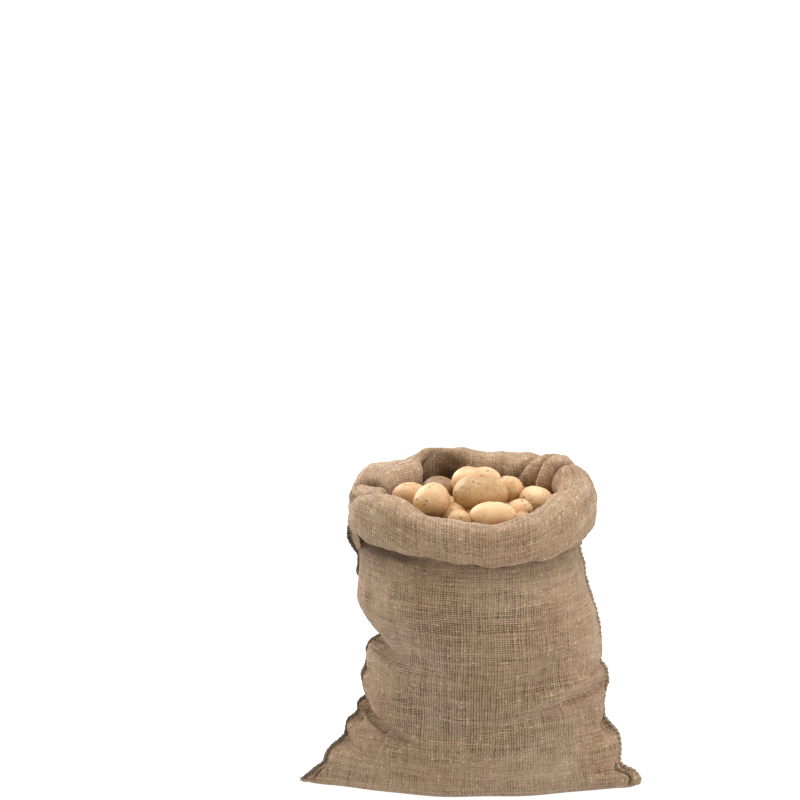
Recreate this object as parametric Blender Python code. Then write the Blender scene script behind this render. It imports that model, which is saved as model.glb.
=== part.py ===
"""A hessian sack of potatoes, standing on its base with its mouth rolled down.

Units are metres, +Z is up, +X is the sack's right hand seen from the front and -Y is the front.
The origin is the middle of the flat base, on the floor.

The sack is one cloth: a flat bag, 0.60 m by 0.90 m, with a seam down each side. It is modelled
as one surface that runs from the middle of the base out to its edge, up the wall to the neck,
over the rolled mouth and down to the hem, and that is then given the thickness of the cloth.
"""

from collections import namedtuple
from math import pi

import bmesh
import bpy
import numpy as np
from mathutils import Euler

# Driving dimensions of the cloth
CLOTH_THICKNESS = 0.0025
SEGMENTS_ROUND = 56
BASE_RINGS = (0.35, 0.72)

# How far apart separate pieces are kept
PIECE_GAP = 0.0006

# How far the filled sack reaches to its left and right edges, from the floor up to the neck.
# Every row is a ring of the cloth: the tips at the foot are the bag's bottom corners, and each
# dip is where a side fold runs in.
Edge = namedtuple("Edge", "height left right")
EDGES = (
    Edge(0.000, 0.270, 0.276),
    Edge(0.005, 0.284, 0.284),
    Edge(0.012, 0.278, 0.286),
    Edge(0.020, 0.268, 0.287),
    Edge(0.029, 0.257, 0.280),
    Edge(0.037, 0.247, 0.256),
    Edge(0.050, 0.242, 0.253),
    Edge(0.062, 0.234, 0.255),
    Edge(0.074, 0.218, 0.255),
    Edge(0.086, 0.209, 0.252),
    Edge(0.100, 0.210, 0.243),
    Edge(0.112, 0.204, 0.230),
    Edge(0.121, 0.187, 0.225),
    Edge(0.133, 0.191, 0.226),
    Edge(0.142, 0.188, 0.227),
    Edge(0.150, 0.176, 0.227),
    Edge(0.166, 0.183, 0.229),
    Edge(0.186, 0.183, 0.233),
    Edge(0.204, 0.175, 0.227),
    Edge(0.221, 0.174, 0.216),
    Edge(0.240, 0.174, 0.219),
    Edge(0.250, 0.166, 0.220),
    Edge(0.258, 0.148, 0.219),
    Edge(0.272, 0.157, 0.218),
    Edge(0.298, 0.176, 0.212),
    Edge(0.330, 0.192, 0.202),
    Edge(0.360, 0.190, 0.193),
    Edge(0.388, 0.188, 0.189),
    Edge(0.410, 0.190, 0.182),
)
NECK_HEIGHT = EDGES[-1].height

# The form of a horizontal section of the filled sack. front and back reach to the cloth's
# middle. pinch draws the section to a point at an edge, and nose is the half thickness of the
# doubled cloth there. swing carries the edge forward (-) or back (+).
Section = namedtuple(
    "Section",
    "height front back pinch_left pinch_right nose_left nose_right swing_left swing_right",
)
SECTIONS = (
    Section(0.000, 0.100, 0.098, 1.05, 0.98, 0.005, 0.014, -0.030, -0.042),
    Section(0.010, 0.112, 0.110, 1.15, 1.00, 0.006, 0.018, -0.030, -0.042),
    Section(0.025, 0.120, 0.118, 1.05, 1.00, 0.007, 0.018, -0.028, -0.040),
    Section(0.045, 0.127, 0.125, 0.85, 0.70, 0.008, 0.010, -0.022, -0.030),
    Section(0.080, 0.136, 0.135, 0.62, 0.52, 0.007, 0.008, -0.014, -0.018),
    Section(0.120, 0.147, 0.146, 0.45, 0.40, 0.006, 0.006, -0.008, -0.010),
    Section(0.160, 0.158, 0.156, 0.34, 0.34, 0.006, 0.006, -0.006, -0.006),
    Section(0.210, 0.167, 0.164, 0.24, 0.28, 0.006, 0.006, -0.004, -0.004),
    Section(0.270, 0.170, 0.168, 0.18, 0.22, 0.006, 0.006, -0.002, -0.002),
    Section(0.340, 0.168, 0.167, 0.12, 0.14, 0.006, 0.006, 0.000, 0.000),
    Section(0.410, 0.162, 0.161, 0.06, 0.05, 0.004, 0.004, 0.000, 0.000),
)
# How closely the nose and the swing keep to the edge, and the turn in degrees that the wall's
# outward direction is taken over
NOSE_SHARPNESS = 4.5
SWING_SHARPNESS = 4
OUTWARD_TURN = 0.5

# The folds that the cloth takes as it settles: a soft trough from one place on the wall to
# another, with a puffed ridge above it. Angles are in degrees round the sack: 0 is the right
# edge, 90 the back, 180 the left edge and 270 the front.
Fold = namedtuple("Fold", "angle_from height_from angle_to height_to width depth ridge")
FOLDS = (
    Fold(186, 0.260, 232, 0.254, 0.014, 0.018, 0.006),
    Fold(186, 0.154, 240, 0.110, 0.016, 0.020, 0.008),
    Fold(185, 0.122, 204, 0.100, 0.011, 0.008, 0.004),
    Fold(353, 0.178, 298, 0.152, 0.018, 0.015, 0.007),
    Fold(354, 0.219, 322, 0.214, 0.014, 0.009, 0.005),
    Fold(300, 0.238, 262, 0.210, 0.022, 0.006, 0.004),
    Fold(354, 0.112, 334, 0.098, 0.014, 0.009, 0.004),
    Fold(186, 0.205, 206, 0.200, 0.013, 0.007, 0.004),
    Fold(186, 0.406, 216, 0.396, 0.013, 0.006, 0.003),
    Fold(174, 0.258, 128, 0.246, 0.016, 0.014, 0.006),
    Fold(174, 0.148, 132, 0.156, 0.018, 0.014, 0.006),
    Fold(7, 0.220, 48, 0.206, 0.018, 0.012, 0.006),
    Fold(6, 0.112, 40, 0.128, 0.018, 0.010, 0.005),
    Fold(6, 0.300, 34, 0.282, 0.018, 0.008, 0.004),
    Fold(62, 0.118, 108, 0.092, 0.024, 0.009, 0.004),
)
# The wall's mean radius, by which turns are told as lengths along the cloth; how far the ridge
# lies from the trough and how wide it is, in fold widths; how far a fold starts before its first
# place, as a share of its length; and where the folds fade out above the floor.
MEAN_RADIUS = 0.19
RIDGE_PLACE = 1.9
RIDGE_WIDTH = 1.3
FOLD_LEAD_IN = 0.05
FOLDS_FROM = 0.02
FOLDS_FULL = 0.07

# The rolled mouth, round the sack: how high the roll's crest stands and how low its hem hangs,
# how far it bulges outward past the neck, and how far its inner side leans into the mouth.
Rim = namedtuple("Rim", "angle crest hem bulge lean")
RIM = (
    Rim(0, 0.528, 0.441, 0.024, 0.035),
    Rim(24, 0.542, 0.448, 0.021, 0.034),
    Rim(48, 0.538, 0.452, 0.018, 0.038),
    Rim(68, 0.536, 0.452, 0.016, 0.038),
    Rim(90, 0.532, 0.450, 0.016, 0.030),
    Rim(108, 0.535, 0.450, 0.018, 0.016),
    Rim(118, 0.531, 0.450, 0.017, 0.024),
    Rim(130, 0.528, 0.448, 0.015, 0.043),
    Rim(155, 0.536, 0.446, 0.014, 0.047),
    Rim(180, 0.514, 0.444, 0.013, 0.044),
    Rim(203, 0.522, 0.448, 0.016, 0.042),
    Rim(225, 0.520, 0.444, 0.019, 0.044),
    Rim(243, 0.504, 0.441, 0.020, 0.042),
    Rim(257, 0.502, 0.439, 0.019, 0.040),
    Rim(278, 0.493, 0.429, 0.017, 0.040),
    Rim(300, 0.500, 0.430, 0.017, 0.042),
    Rim(318, 0.508, 0.435, 0.019, 0.044),
    Rim(340, 0.523, 0.441, 0.024, 0.042),
)

# The roll's cross-section, from the neck up the inner side, over the crest and down the outer
# side to the hem, which is tucked up inside. lean and bulge say how much of each the point
# takes, and level runs from the hem's height, 0, to the crest's, 1.
RollPoint = namedtuple("RollPoint", "lean bulge level")
ROLL = (
    RollPoint(0.10, 0.0, 0.04),
    RollPoint(0.45, 0.0, 0.24),
    RollPoint(0.82, 0.0, 0.44),
    RollPoint(1.00, 0.0, 0.64),
    RollPoint(0.86, 0.0, 0.83),
    RollPoint(0.50, 0.0, 0.96),
    RollPoint(0.10, 0.0, 1.00),
    RollPoint(0.00, 0.55, 0.93),
    RollPoint(0.00, 0.92, 0.76),
    RollPoint(0.00, 1.04, 0.52),
    RollPoint(0.00, 0.96, 0.28),
    RollPoint(0.00, 0.68, 0.08),
    RollPoint(0.00, 0.42, 0.01),
    RollPoint(0.00, 0.20, 0.12),
)

# Pleats where the gathered cloth folds as it goes over the rim: the angle round the sack, the
# half width in degrees and the depth. Above a level of the roll they also sink its crest, by a
# share of their depth.
Pleat = namedtuple("Pleat", "angle half_width depth")
PLEATS = (
    Pleat(20, 6.0, 0.016),
    Pleat(40, 6.0, 0.014),
    Pleat(168, 6.0, 0.014),
    Pleat(112, 6.0, 0.008),
)
PLEAT_SINK_LEVEL = 0.4
PLEAT_SINK_SHARE = 0.5

# The sewn edge down each side, where the selvedges are whipped together with twine. Under the
# rolled mouth the left one springs out as a short loop.
SEAM_RADIUS = 0.0028
SEAM_SIDES = 2
SEAM_GAP = 0.0008
SEAM_BOTTOM = 0.004
SEAM_TOP_LEFT = 0.458
SEAM_TOP_RIGHT = 0.424
SEAM_TAIL_POINTS = 5
SEAM_LOOP_FROM = 0.386
SEAM_LOOP_OUT = 0.018
SEAM_LOOP_TURN = 0.72

# The potatoes that show: the place of each one's middle, its length, width and height, and how
# far it is turned about the vertical and tipped end to end, in degrees.
Potato = namedtuple("Potato", "name x y z length width height yaw pitch")
POTATOES = (
    Potato("potato_centre", 0.015, -0.022, 0.514, 0.086, 0.062, 0.060, 6, 4),
    Potato("potato_back", 0.010, 0.046, 0.514, 0.080, 0.056, 0.054, -6, -4),
    Potato("potato_back_right", 0.064, 0.020, 0.508, 0.046, 0.042, 0.046, 50, 12),
    Potato("potato_left", -0.066, -0.040, 0.503, 0.060, 0.054, 0.054, 24, -8),
    Potato("potato_far_left", -0.098, 0.012, 0.496, 0.064, 0.046, 0.044, 14, 6),
    Potato("potato_left_front", -0.096, -0.063, 0.476, 0.040, 0.034, 0.032, -30, 0),
    Potato("potato_front", 0.037, -0.084, 0.488, 0.076, 0.050, 0.050, 4, 3),
    Potato("potato_front_small", 0.078, -0.048, 0.491, 0.050, 0.036, 0.036, -36, -22),
    Potato("potato_right", 0.110, 0.008, 0.492, 0.058, 0.048, 0.048, -16, 10),
    Potato("potato_front_low", -0.020, -0.088, 0.484, 0.040, 0.034, 0.034, -20, 0),
    Potato("potato_back_left", -0.055, 0.070, 0.490, 0.062, 0.050, 0.048, 30, 0),
    Potato("potato_back_low", 0.080, 0.076, 0.476, 0.058, 0.046, 0.044, -35, 0),
)
POTATO_SEGMENTS = 12
POTATO_RINGS = 7
POTATO_TAPER = 0.07
POTATO_LUMP = 0.025

# The rest of the potatoes, under those that show: one body that fills the sack, with a lumpy
# top in which they nest.
BED_SEGMENTS = 32
BED_FIRST_ROW = 6
BED_TOP = 0.470
BED_BRIM_SHARE = 0.71
BED_CROWN = 0.022
BED_EDGE_CLEARANCE = 0.016
BED_NARROWS_FROM = 0.80
BED_NARROWS_BY = 0.14
BED_FLOOR_SHARE = 0.80
BED_RINGS = (0.90, 0.74, 0.58, 0.42, 0.26, 0.12)
LUMP_HEIGHT = 0.007
LUMP_PITCH = 0.060
NEST_SWELL = 1.18


def through_points(places, values, at):
    """Values of the smooth curve through (places, values), with no overshoot between them."""
    places = np.asarray(places, float)
    values = np.asarray(values, float)
    steps = np.diff(places)
    slopes = np.diff(values) / steps
    tangents = np.empty_like(values)
    tangents[0] = slopes[0]
    tangents[-1] = slopes[-1]
    same_way = slopes[:-1] * slopes[1:] > 0
    mean = 2 * slopes[:-1] * slopes[1:] / np.where(same_way, slopes[:-1] + slopes[1:], 1)
    tangents[1:-1] = np.where(same_way, mean, 0)
    at = np.clip(at, places[0], places[-1])
    i = np.clip(np.searchsorted(places, at, side="right") - 1, 0, len(steps) - 1)
    h = steps[i]
    t = (at - places[i]) / h
    return (
        (1 + 2 * t) * (1 - t) ** 2 * values[i]
        + t * (1 - t) ** 2 * h * tangents[i]
        + t * t * (3 - 2 * t) * values[i + 1]
        + t * t * (t - 1) * h * tangents[i + 1]
    )


def section_column(name, height):
    return through_points(
        [s.height for s in SECTIONS], [getattr(s, name) for s in SECTIONS], height
    )


def edge_column(name, height):
    return through_points([e.height for e in EDGES], [getattr(e, name) for e in EDGES], height)


def rim_column(name, angle):
    """A column of RIM at an angle in degrees, going smoothly round."""
    turns = (-360, 0, 360)
    places = [r.angle + turn for turn in turns for r in RIM]
    values = [getattr(r, name) for turn in turns for r in RIM]
    return through_points(places, values, np.mod(angle, 360))


def turn_from(angle, start):
    """How far round from start, between -180 and 180 degrees."""
    return np.mod(angle - start + 180, 360) - 180


def plain_wall(angle, height):
    """Points of the wall with no folds in it: angle in degrees and height as equal arrays."""
    theta = np.radians(angle)
    c, s = np.cos(theta), np.sin(theta)
    rightness = (1 + c) / 2
    side = c > 0
    reach = np.where(side, edge_column("right", height), edge_column("left", height))
    pinch = (
        rightness * section_column("pinch_right", height)
        + (1 - rightness) * section_column("pinch_left", height)
    )
    nose = np.where(
        side, section_column("nose_right", height), section_column("nose_left", height)
    )
    depth = np.where(
        s > 0, section_column("back", height), section_column("front", height)
    )
    swing = np.where(
        side, section_column("swing_right", height), section_column("swing_left", height)
    )
    off_seam = np.abs(s)
    half = nose * (1 - np.exp(-NOSE_SHARPNESS * off_seam)) + (
        depth - nose
    ) * off_seam ** (1 + pinch)
    x = reach * c
    y = np.sign(s) * half + swing * np.abs(c) ** SWING_SHARPNESS
    return np.stack([x, y, height + 0 * x], axis=-1)


def fold_depth(angle, height):
    """How far the folds push the wall in (+) or puff it out (-)."""
    total = np.zeros(np.broadcast(angle, height).shape)
    for fold in FOLDS:
        along = np.array(
            [np.radians(fold.angle_to - fold.angle_from) * MEAN_RADIUS,
             fold.height_to - fold.height_from]
        )
        length = np.hypot(*along)
        along /= length
        across_x = np.radians(turn_from(angle, fold.angle_from)) * MEAN_RADIUS
        across_z = height - fold.height_from
        u = (across_x * along[0] + across_z * along[1]) / length
        v = np.abs(along[0]) * across_z - np.sign(along[0]) * along[1] * across_x
        fade_in = np.exp(-(np.minimum(u + FOLD_LEAD_IN, 0) * length / fold.width) ** 2)
        fade_out = 1 - np.clip(u, 0, 1) ** 2
        trough = np.exp(-((v / fold.width) ** 2))
        ridge = np.exp(-((((v / fold.width) - RIDGE_PLACE) / RIDGE_WIDTH) ** 2))
        total = total + fade_in * fade_out * (fold.depth * trough - fold.ridge * ridge)
    return total


def wall(angle, height):
    """Points of the wall with its folds, and the level outward direction at each."""
    points = plain_wall(angle, height)
    run = plain_wall(angle + OUTWARD_TURN, height) - plain_wall(angle - OUTWARD_TURN, height)
    outward = np.stack([run[..., 1], -run[..., 0], 0 * run[..., 0]], axis=-1)
    outward /= np.linalg.norm(outward, axis=-1, keepdims=True)
    folded = np.clip((height - FOLDS_FROM) / (FOLDS_FULL - FOLDS_FROM), 0, 1)
    return points - outward * (fold_depth(angle, height) * folded)[..., None], outward


def roll(angle, station):
    """Points of the rolled mouth. station counts along ROLL, from 0 at its first row."""
    places = np.arange(len(ROLL))
    lean = through_points(places, [p.lean for p in ROLL], station)
    bulge = through_points(places, [p.bulge for p in ROLL], station)
    level = through_points(places, [p.level for p in ROLL], station)
    neck, outward = wall(angle, np.full(np.shape(angle), NECK_HEIGHT))
    crest, hem = rim_column("crest", angle), rim_column("hem", angle)
    out = bulge * rim_column("bulge", angle) - lean * rim_column("lean", angle)
    pleat = np.zeros(np.shape(out))
    for p in PLEATS:
        turn = turn_from(angle, p.angle)
        pleat = pleat + p.depth * np.exp(-((turn / p.half_width) ** 2))
    sink = pleat * np.clip(level - PLEAT_SINK_LEVEL, 0, 1) * PLEAT_SINK_SHARE
    points = neck + outward * (out + pleat * lean)[..., None]
    points[..., 2] = hem + level * (crest - hem) - sink
    return points


def sack_rows(segments):
    """The cloth's outer surface: the base's middle point, then a row of points for each ring."""
    angle = np.arange(segments) * 360 / segments
    foot, _ = wall(angle, np.zeros(segments))
    centre = np.array([0.0, foot[:, 1].mean(), 0.0])
    rows = [centre + ring * (foot - centre) for ring in BASE_RINGS]
    for edge in EDGES:
        rows.append(wall(angle, np.full(segments, edge.height))[0])
    for station in range(len(ROLL)):
        rows.append(roll(angle, np.full(segments, float(station))))
    return centre, rows


def material(name, colour, roughness):
    made = bpy.data.materials.new(name)
    made.use_nodes = True
    shader = made.node_tree.nodes["Principled BSDF"]
    shader.inputs["Base Color"].default_value = (*colour, 1)
    shader.inputs["Roughness"].default_value = roughness
    shader.inputs["Metallic"].default_value = 0
    return made


def finish_object(name, mesh, surface):
    mesh.materials.append(surface)
    mesh.shade_smooth()
    made = bpy.data.objects.new(name, mesh)
    bpy.context.scene.collection.objects.link(made)
    return made


def mesh_of_rows(name, rows, start=None, end=None):
    """A mesh through rings of points, closed to a middle point at the start, the end or both."""
    shape = bmesh.new()
    rings = [[shape.verts.new(p) for p in row] for row in rows]
    for low, high in zip(rings, rings[1:]):
        for i in range(len(low)):
            j = (i + 1) % len(low)
            shape.faces.new((low[i], low[j], high[j], high[i]))
    for middle, ring, turned in ((start, rings[0], False), (end, rings[-1], True)):
        if middle is None:
            continue
        tip = shape.verts.new(middle)
        for i in range(len(ring)):
            pair = (ring[i], ring[(i + 1) % len(ring)])
            shape.faces.new((tip, *(pair if turned else pair[::-1])))
    mesh = bpy.data.meshes.new(name)
    shape.to_mesh(mesh)
    shape.free()
    return mesh


def make_cloth(surface):
    """The sack's cloth, with its thickness laid inward from the outer surface."""
    centre, rows = sack_rows(SEGMENTS_ROUND)
    cloth = finish_object("sack_cloth", mesh_of_rows("sack_cloth", rows, start=centre), surface)
    thickness = cloth.modifiers.new("cloth_thickness", "SOLIDIFY")
    thickness.thickness = CLOTH_THICKNESS
    thickness.offset = -1
    thickness.use_even_offset = False
    thickness.use_rim = True
    return cloth


def seam_line(angle, top, loop_out):
    """Points beside the cloth's side edge, one seam radius and a gap outside it."""
    heights = np.array([e.height for e in EDGES if e.height > SEAM_BOTTOM])
    edge, outward = wall(np.full(len(heights), angle), heights)
    run = np.diff(edge, axis=0)
    across = np.cross(run, np.cross(outward[1:], run))
    across /= np.linalg.norm(across, axis=1, keepdims=True)
    below = np.concatenate([across[:1], across])
    above = np.concatenate([across, across[-1:]])
    miter = (below + above) / (1 + (below * above).sum(axis=1, keepdims=True))
    line = edge + miter * (SEAM_RADIUS + SEAM_GAP)
    tail = line[-1] + np.linspace(0, top - NECK_HEIGHT, SEAM_TAIL_POINTS)[1:, None] * (0, 0, 1)
    line = np.concatenate([line, tail])
    sprung = np.clip((line[:, 2] - SEAM_LOOP_FROM) / (top - SEAM_LOOP_FROM), 0, 1)
    line[:, 0] += np.sign(line[:, 0]) * loop_out * np.sin(sprung * pi * SEAM_LOOP_TURN)
    return line


def make_seam(name, points, surface):
    curve = bpy.data.curves.new(name, "CURVE")
    curve.dimensions = "3D"
    curve.bevel_depth = SEAM_RADIUS
    curve.bevel_resolution = SEAM_SIDES
    curve.use_fill_caps = True
    spline = curve.splines.new("POLY")
    spline.points.add(len(points) - 1)
    for target, point in zip(spline.points, points):
        target.co = (*point, 1)
    curve.materials.append(surface)
    made = bpy.data.objects.new(name, curve)
    bpy.context.scene.collection.objects.link(made)
    return made


def potato_surface(potato):
    """Gives the places on a potato by polar and round angles: an oval, fatter at one end."""
    turned = Euler((0, np.radians(potato.pitch), np.radians(potato.yaw))).to_matrix()
    size = np.array([potato.length, potato.width, potato.height]) / 2
    middle = np.array([potato.x, potato.y, potato.z])
    number = [p.name for p in POTATOES].index(potato.name)

    def place(polar, round_it):
        direction = np.stack(
            [np.cos(polar) + 0 * round_it,
             np.sin(polar) * np.cos(round_it),
             np.sin(polar) * np.sin(round_it)],
            axis=-1,
        )
        taper = 1 - POTATO_TAPER * np.cos(number) * direction[..., :1]
        lump = 1 + POTATO_LUMP * np.sin(2 * round_it + number)[..., None] * np.sin(polar)
        shaped = direction * size * np.concatenate([np.ones_like(taper), taper, taper], -1)
        return middle + (shaped * lump) @ np.array(turned).T

    return place


def make_potato(potato, surface):
    place = potato_surface(potato)
    round_it = np.arange(POTATO_SEGMENTS) * 2 * pi / POTATO_SEGMENTS
    rows = [
        place(polar, round_it)
        for polar in np.linspace(pi, 0, POTATO_RINGS + 2)[1:-1]
    ]
    ends = [place(polar, np.array([0.0]))[0] for polar in (pi, 0)]
    mesh = mesh_of_rows(potato.name, rows, start=ends[0], end=ends[1])
    return finish_object(potato.name, mesh, surface)


def under_potatoes(x, y):
    """The height of the lowest potato surface over each place, where there is a potato."""
    lowest = np.full(np.shape(x), np.inf)
    for potato in POTATOES:
        turned = np.array(Euler((0, np.radians(potato.pitch), np.radians(potato.yaw))).to_matrix())
        size = np.array([potato.length, potato.width, potato.height]) / 2 * NEST_SWELL
        form = turned @ np.diag(size**-2) @ turned.T
        dx, dy = x - potato.x, y - potato.y
        a = form[2, 2]
        b = 2 * (form[0, 2] * dx + form[1, 2] * dy)
        c = form[0, 0] * dx**2 + 2 * form[0, 1] * dx * dy + form[1, 1] * dy**2 - 1
        inside = b * b - 4 * a * c
        low = potato.z + (-b - np.sqrt(np.maximum(inside, 0))) / (2 * a)
        lowest = np.where(inside > 0, np.minimum(lowest, low), lowest)
    return lowest


def make_bed(surface):
    """The potatoes under those that show, as one body that stands on the cloth's base."""
    angle = np.arange(BED_SEGMENTS) * 360 / BED_SEGMENTS
    inset = CLOTH_THICKNESS + BED_EDGE_CLEARANCE

    def ring(height):
        points, outward = wall(angle, np.full(BED_SEGMENTS, height))
        sideways = np.abs(np.cos(np.radians(angle)))
        near_edge = np.clip((sideways - BED_NARROWS_FROM) / (1 - BED_NARROWS_FROM), 0, 1)
        points = points - outward * inset
        points[:, 0] *= 1 - BED_NARROWS_BY * near_edge
        return points

    floor = CLOTH_THICKNESS + PIECE_GAP
    foot = ring(EDGES[BED_FIRST_ROW].height) * (BED_FLOOR_SHARE, BED_FLOOR_SHARE, 0)
    rows = [foot + (0, 0, floor)]
    rows += [ring(edge.height) for edge in EDGES[BED_FIRST_ROW::2]]
    brim = ring(NECK_HEIGHT) * (BED_BRIM_SHARE, BED_BRIM_SHARE, 1)
    for share in (1.0, *BED_RINGS, 0):
        row = brim * (share, share, 1) if share else brim[:1] * (0, 0, 1)
        lumps = np.cos(row[:, 0] * 2 * pi / LUMP_PITCH) * np.cos(row[:, 1] * 2 * pi / LUMP_PITCH)
        dome = BED_TOP + LUMP_HEIGHT * lumps + BED_CROWN * (1 - share)
        row[:, 2] = np.minimum(dome, under_potatoes(row[:, 0], row[:, 1]) - PIECE_GAP)
        rows.append(row)
    middle = rows.pop()[0]
    start = np.array([0.0, 0.0, floor])
    return finish_object(
        "potato_bed", mesh_of_rows("potato_bed", rows, start=start, end=middle), surface
    )


def main():
    for old in list(bpy.data.objects):
        bpy.data.objects.remove(old)
    hessian = material("hessian", (0.36, 0.25, 0.16), 0.95)
    twine = material("seam_twine", (0.16, 0.11, 0.07), 0.90)
    skin = material("potato_skin", (0.62, 0.38, 0.17), 0.55)
    make_cloth(hessian)
    make_seam("seam_left", seam_line(180.0, SEAM_TOP_LEFT, SEAM_LOOP_OUT), twine)
    make_seam("seam_right", seam_line(0.0, SEAM_TOP_RIGHT, 0.0), twine)
    make_bed(skin)
    for potato in POTATOES:
        make_potato(potato, skin)


if __name__ == "__main__":
    main()
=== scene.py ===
"""Dresses the frame of a hessian sack of potatoes: woven cloth, sewn seams, fibres and potatoes.

Units are metres, +Z is up, +X is the sack's right hand seen from the front and -Y is the front.
Angles are in degrees round the sack: 0 is its right edge, 90 the back, 180 the left edge and
270 the front.
"""

from collections import namedtuple
from math import cos, pi, radians, sin

import bpy
import numpy as np
from bpy.props import FloatProperty, FloatVectorProperty, IntProperty, PointerProperty
from mathutils import Euler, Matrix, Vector


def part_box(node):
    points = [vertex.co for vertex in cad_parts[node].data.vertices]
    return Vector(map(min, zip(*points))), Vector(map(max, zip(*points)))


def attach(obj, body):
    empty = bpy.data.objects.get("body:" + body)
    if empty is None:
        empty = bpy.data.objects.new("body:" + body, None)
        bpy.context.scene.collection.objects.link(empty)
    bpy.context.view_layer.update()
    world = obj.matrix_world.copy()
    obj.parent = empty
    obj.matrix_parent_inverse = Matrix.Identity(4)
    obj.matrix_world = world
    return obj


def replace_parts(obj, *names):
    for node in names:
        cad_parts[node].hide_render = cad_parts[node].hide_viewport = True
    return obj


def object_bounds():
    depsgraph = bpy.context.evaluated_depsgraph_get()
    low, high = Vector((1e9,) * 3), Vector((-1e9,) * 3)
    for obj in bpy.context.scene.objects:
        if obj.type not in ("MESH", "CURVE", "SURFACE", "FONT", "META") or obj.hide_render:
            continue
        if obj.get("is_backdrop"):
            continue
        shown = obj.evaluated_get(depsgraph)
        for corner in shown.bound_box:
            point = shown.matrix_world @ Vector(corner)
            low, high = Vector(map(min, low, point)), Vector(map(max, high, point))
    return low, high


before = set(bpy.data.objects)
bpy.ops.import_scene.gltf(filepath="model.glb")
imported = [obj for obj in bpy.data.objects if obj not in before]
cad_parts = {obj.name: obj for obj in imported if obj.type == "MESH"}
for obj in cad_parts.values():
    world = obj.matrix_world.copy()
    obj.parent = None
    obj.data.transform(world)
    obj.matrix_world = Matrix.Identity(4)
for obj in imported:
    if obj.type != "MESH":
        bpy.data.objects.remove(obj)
CAD_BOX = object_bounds()

bl_info = {
    "name": "Hessian Sack of Potatoes",
    "version": (1, 0, 0),
    "blender": (4, 5, 0),
    "location": "View3D > Sidebar > Sack",
    "description": "Dresses the sack's frame with woven cloth, sewn seams and potatoes",
    "category": "Object",
}

BODY = "root"
CLOTH_UV = "ClothMetres"


def table(columns, *rows):
    """Rows of figures with named columns."""
    row_type = namedtuple("Row", columns)
    return tuple(row_type(*row) for row in rows)


# ---------------------------------------------------------------------------
# The cloth's form
# ---------------------------------------------------------------------------

# How far the filled sack reaches to its left and right edges, from the floor up to the neck.
EDGES = table(
    "height left right",
    (0.000, 0.270, 0.276), (0.005, 0.284, 0.284), (0.012, 0.278, 0.289),
    (0.020, 0.268, 0.287), (0.029, 0.257, 0.280), (0.037, 0.247, 0.256),
    (0.050, 0.242, 0.253), (0.062, 0.234, 0.255), (0.074, 0.218, 0.255),
    (0.086, 0.209, 0.252), (0.100, 0.210, 0.243), (0.112, 0.204, 0.230),
    (0.121, 0.187, 0.225), (0.133, 0.191, 0.226), (0.142, 0.188, 0.227),
    (0.150, 0.169, 0.227), (0.166, 0.177, 0.229), (0.186, 0.183, 0.233),
    (0.204, 0.175, 0.227), (0.221, 0.174, 0.216), (0.240, 0.174, 0.219),
    (0.250, 0.166, 0.220), (0.258, 0.146, 0.219), (0.272, 0.151, 0.218),
    (0.298, 0.176, 0.212), (0.330, 0.192, 0.202), (0.360, 0.190, 0.193),
    (0.388, 0.188, 0.189), (0.410, 0.190, 0.182),
)
NECK_HEIGHT = EDGES[-1].height

# The form of a horizontal section of the filled sack: how far the middle of its front and back
# reach, how much it is drawn to a point at each edge, the half thickness of the doubled cloth
# there, and how far the edge swings forward (-) or back (+).
SECTIONS = table(
    "height front back pinch_left pinch_right nose_left nose_right swing_left swing_right",
    (0.000, 0.094, 0.098, 1.05, 0.98, 0.005, 0.009, -0.030, -0.034),
    (0.010, 0.108, 0.110, 1.15, 1.00, 0.006, 0.015, -0.030, -0.038),
    (0.025, 0.120, 0.118, 1.05, 1.00, 0.007, 0.018, -0.028, -0.040),
    (0.045, 0.127, 0.125, 0.85, 0.70, 0.008, 0.010, -0.022, -0.030),
    (0.080, 0.136, 0.135, 0.62, 0.52, 0.007, 0.008, -0.014, -0.018),
    (0.120, 0.147, 0.146, 0.45, 0.40, 0.006, 0.006, -0.008, -0.010),
    (0.160, 0.158, 0.156, 0.34, 0.34, 0.006, 0.006, -0.006, -0.006),
    (0.210, 0.167, 0.164, 0.24, 0.28, 0.006, 0.006, -0.004, -0.004),
    (0.270, 0.170, 0.168, 0.18, 0.22, 0.006, 0.006, -0.002, -0.002),
    (0.340, 0.168, 0.167, 0.12, 0.14, 0.006, 0.006, 0.000, 0.000),
    (0.410, 0.162, 0.161, 0.06, 0.05, 0.004, 0.004, 0.000, 0.000),
)
NOSE_SHARPNESS = 4.5
SWING_SHARPNESS = 4
# Waves round the foot: how many go round and where each starts, and how high up they die away
FOOT_WAVES = ((7, 1), (12, 2))
FOOT_WAVE = 0.02
FOOT_WAVE_REACH = 0.06

# The rolled mouth, round the sack: how high its crest stands and how low its hem hangs, how far
# it bulges past the neck, and how far its inner side leans into the mouth.
RIM = table(
    "angle crest hem bulge lean",
    (0, 0.528, 0.441, 0.024, 0.035), (24, 0.542, 0.448, 0.021, 0.034),
    (48, 0.538, 0.452, 0.018, 0.038), (68, 0.538, 0.452, 0.016, 0.038),
    (90, 0.536, 0.450, 0.016, 0.030), (108, 0.545, 0.450, 0.018, 0.016),
    (118, 0.538, 0.450, 0.017, 0.024), (130, 0.528, 0.448, 0.015, 0.043),
    (155, 0.536, 0.446, 0.014, 0.047), (180, 0.514, 0.444, 0.013, 0.044),
    (203, 0.522, 0.448, 0.016, 0.042), (225, 0.520, 0.444, 0.019, 0.044),
    (243, 0.504, 0.441, 0.020, 0.042), (257, 0.502, 0.439, 0.019, 0.040),
    (278, 0.493, 0.429, 0.017, 0.040), (300, 0.500, 0.430, 0.017, 0.042),
    (318, 0.508, 0.435, 0.019, 0.044), (340, 0.523, 0.441, 0.024, 0.042),
)

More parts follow.
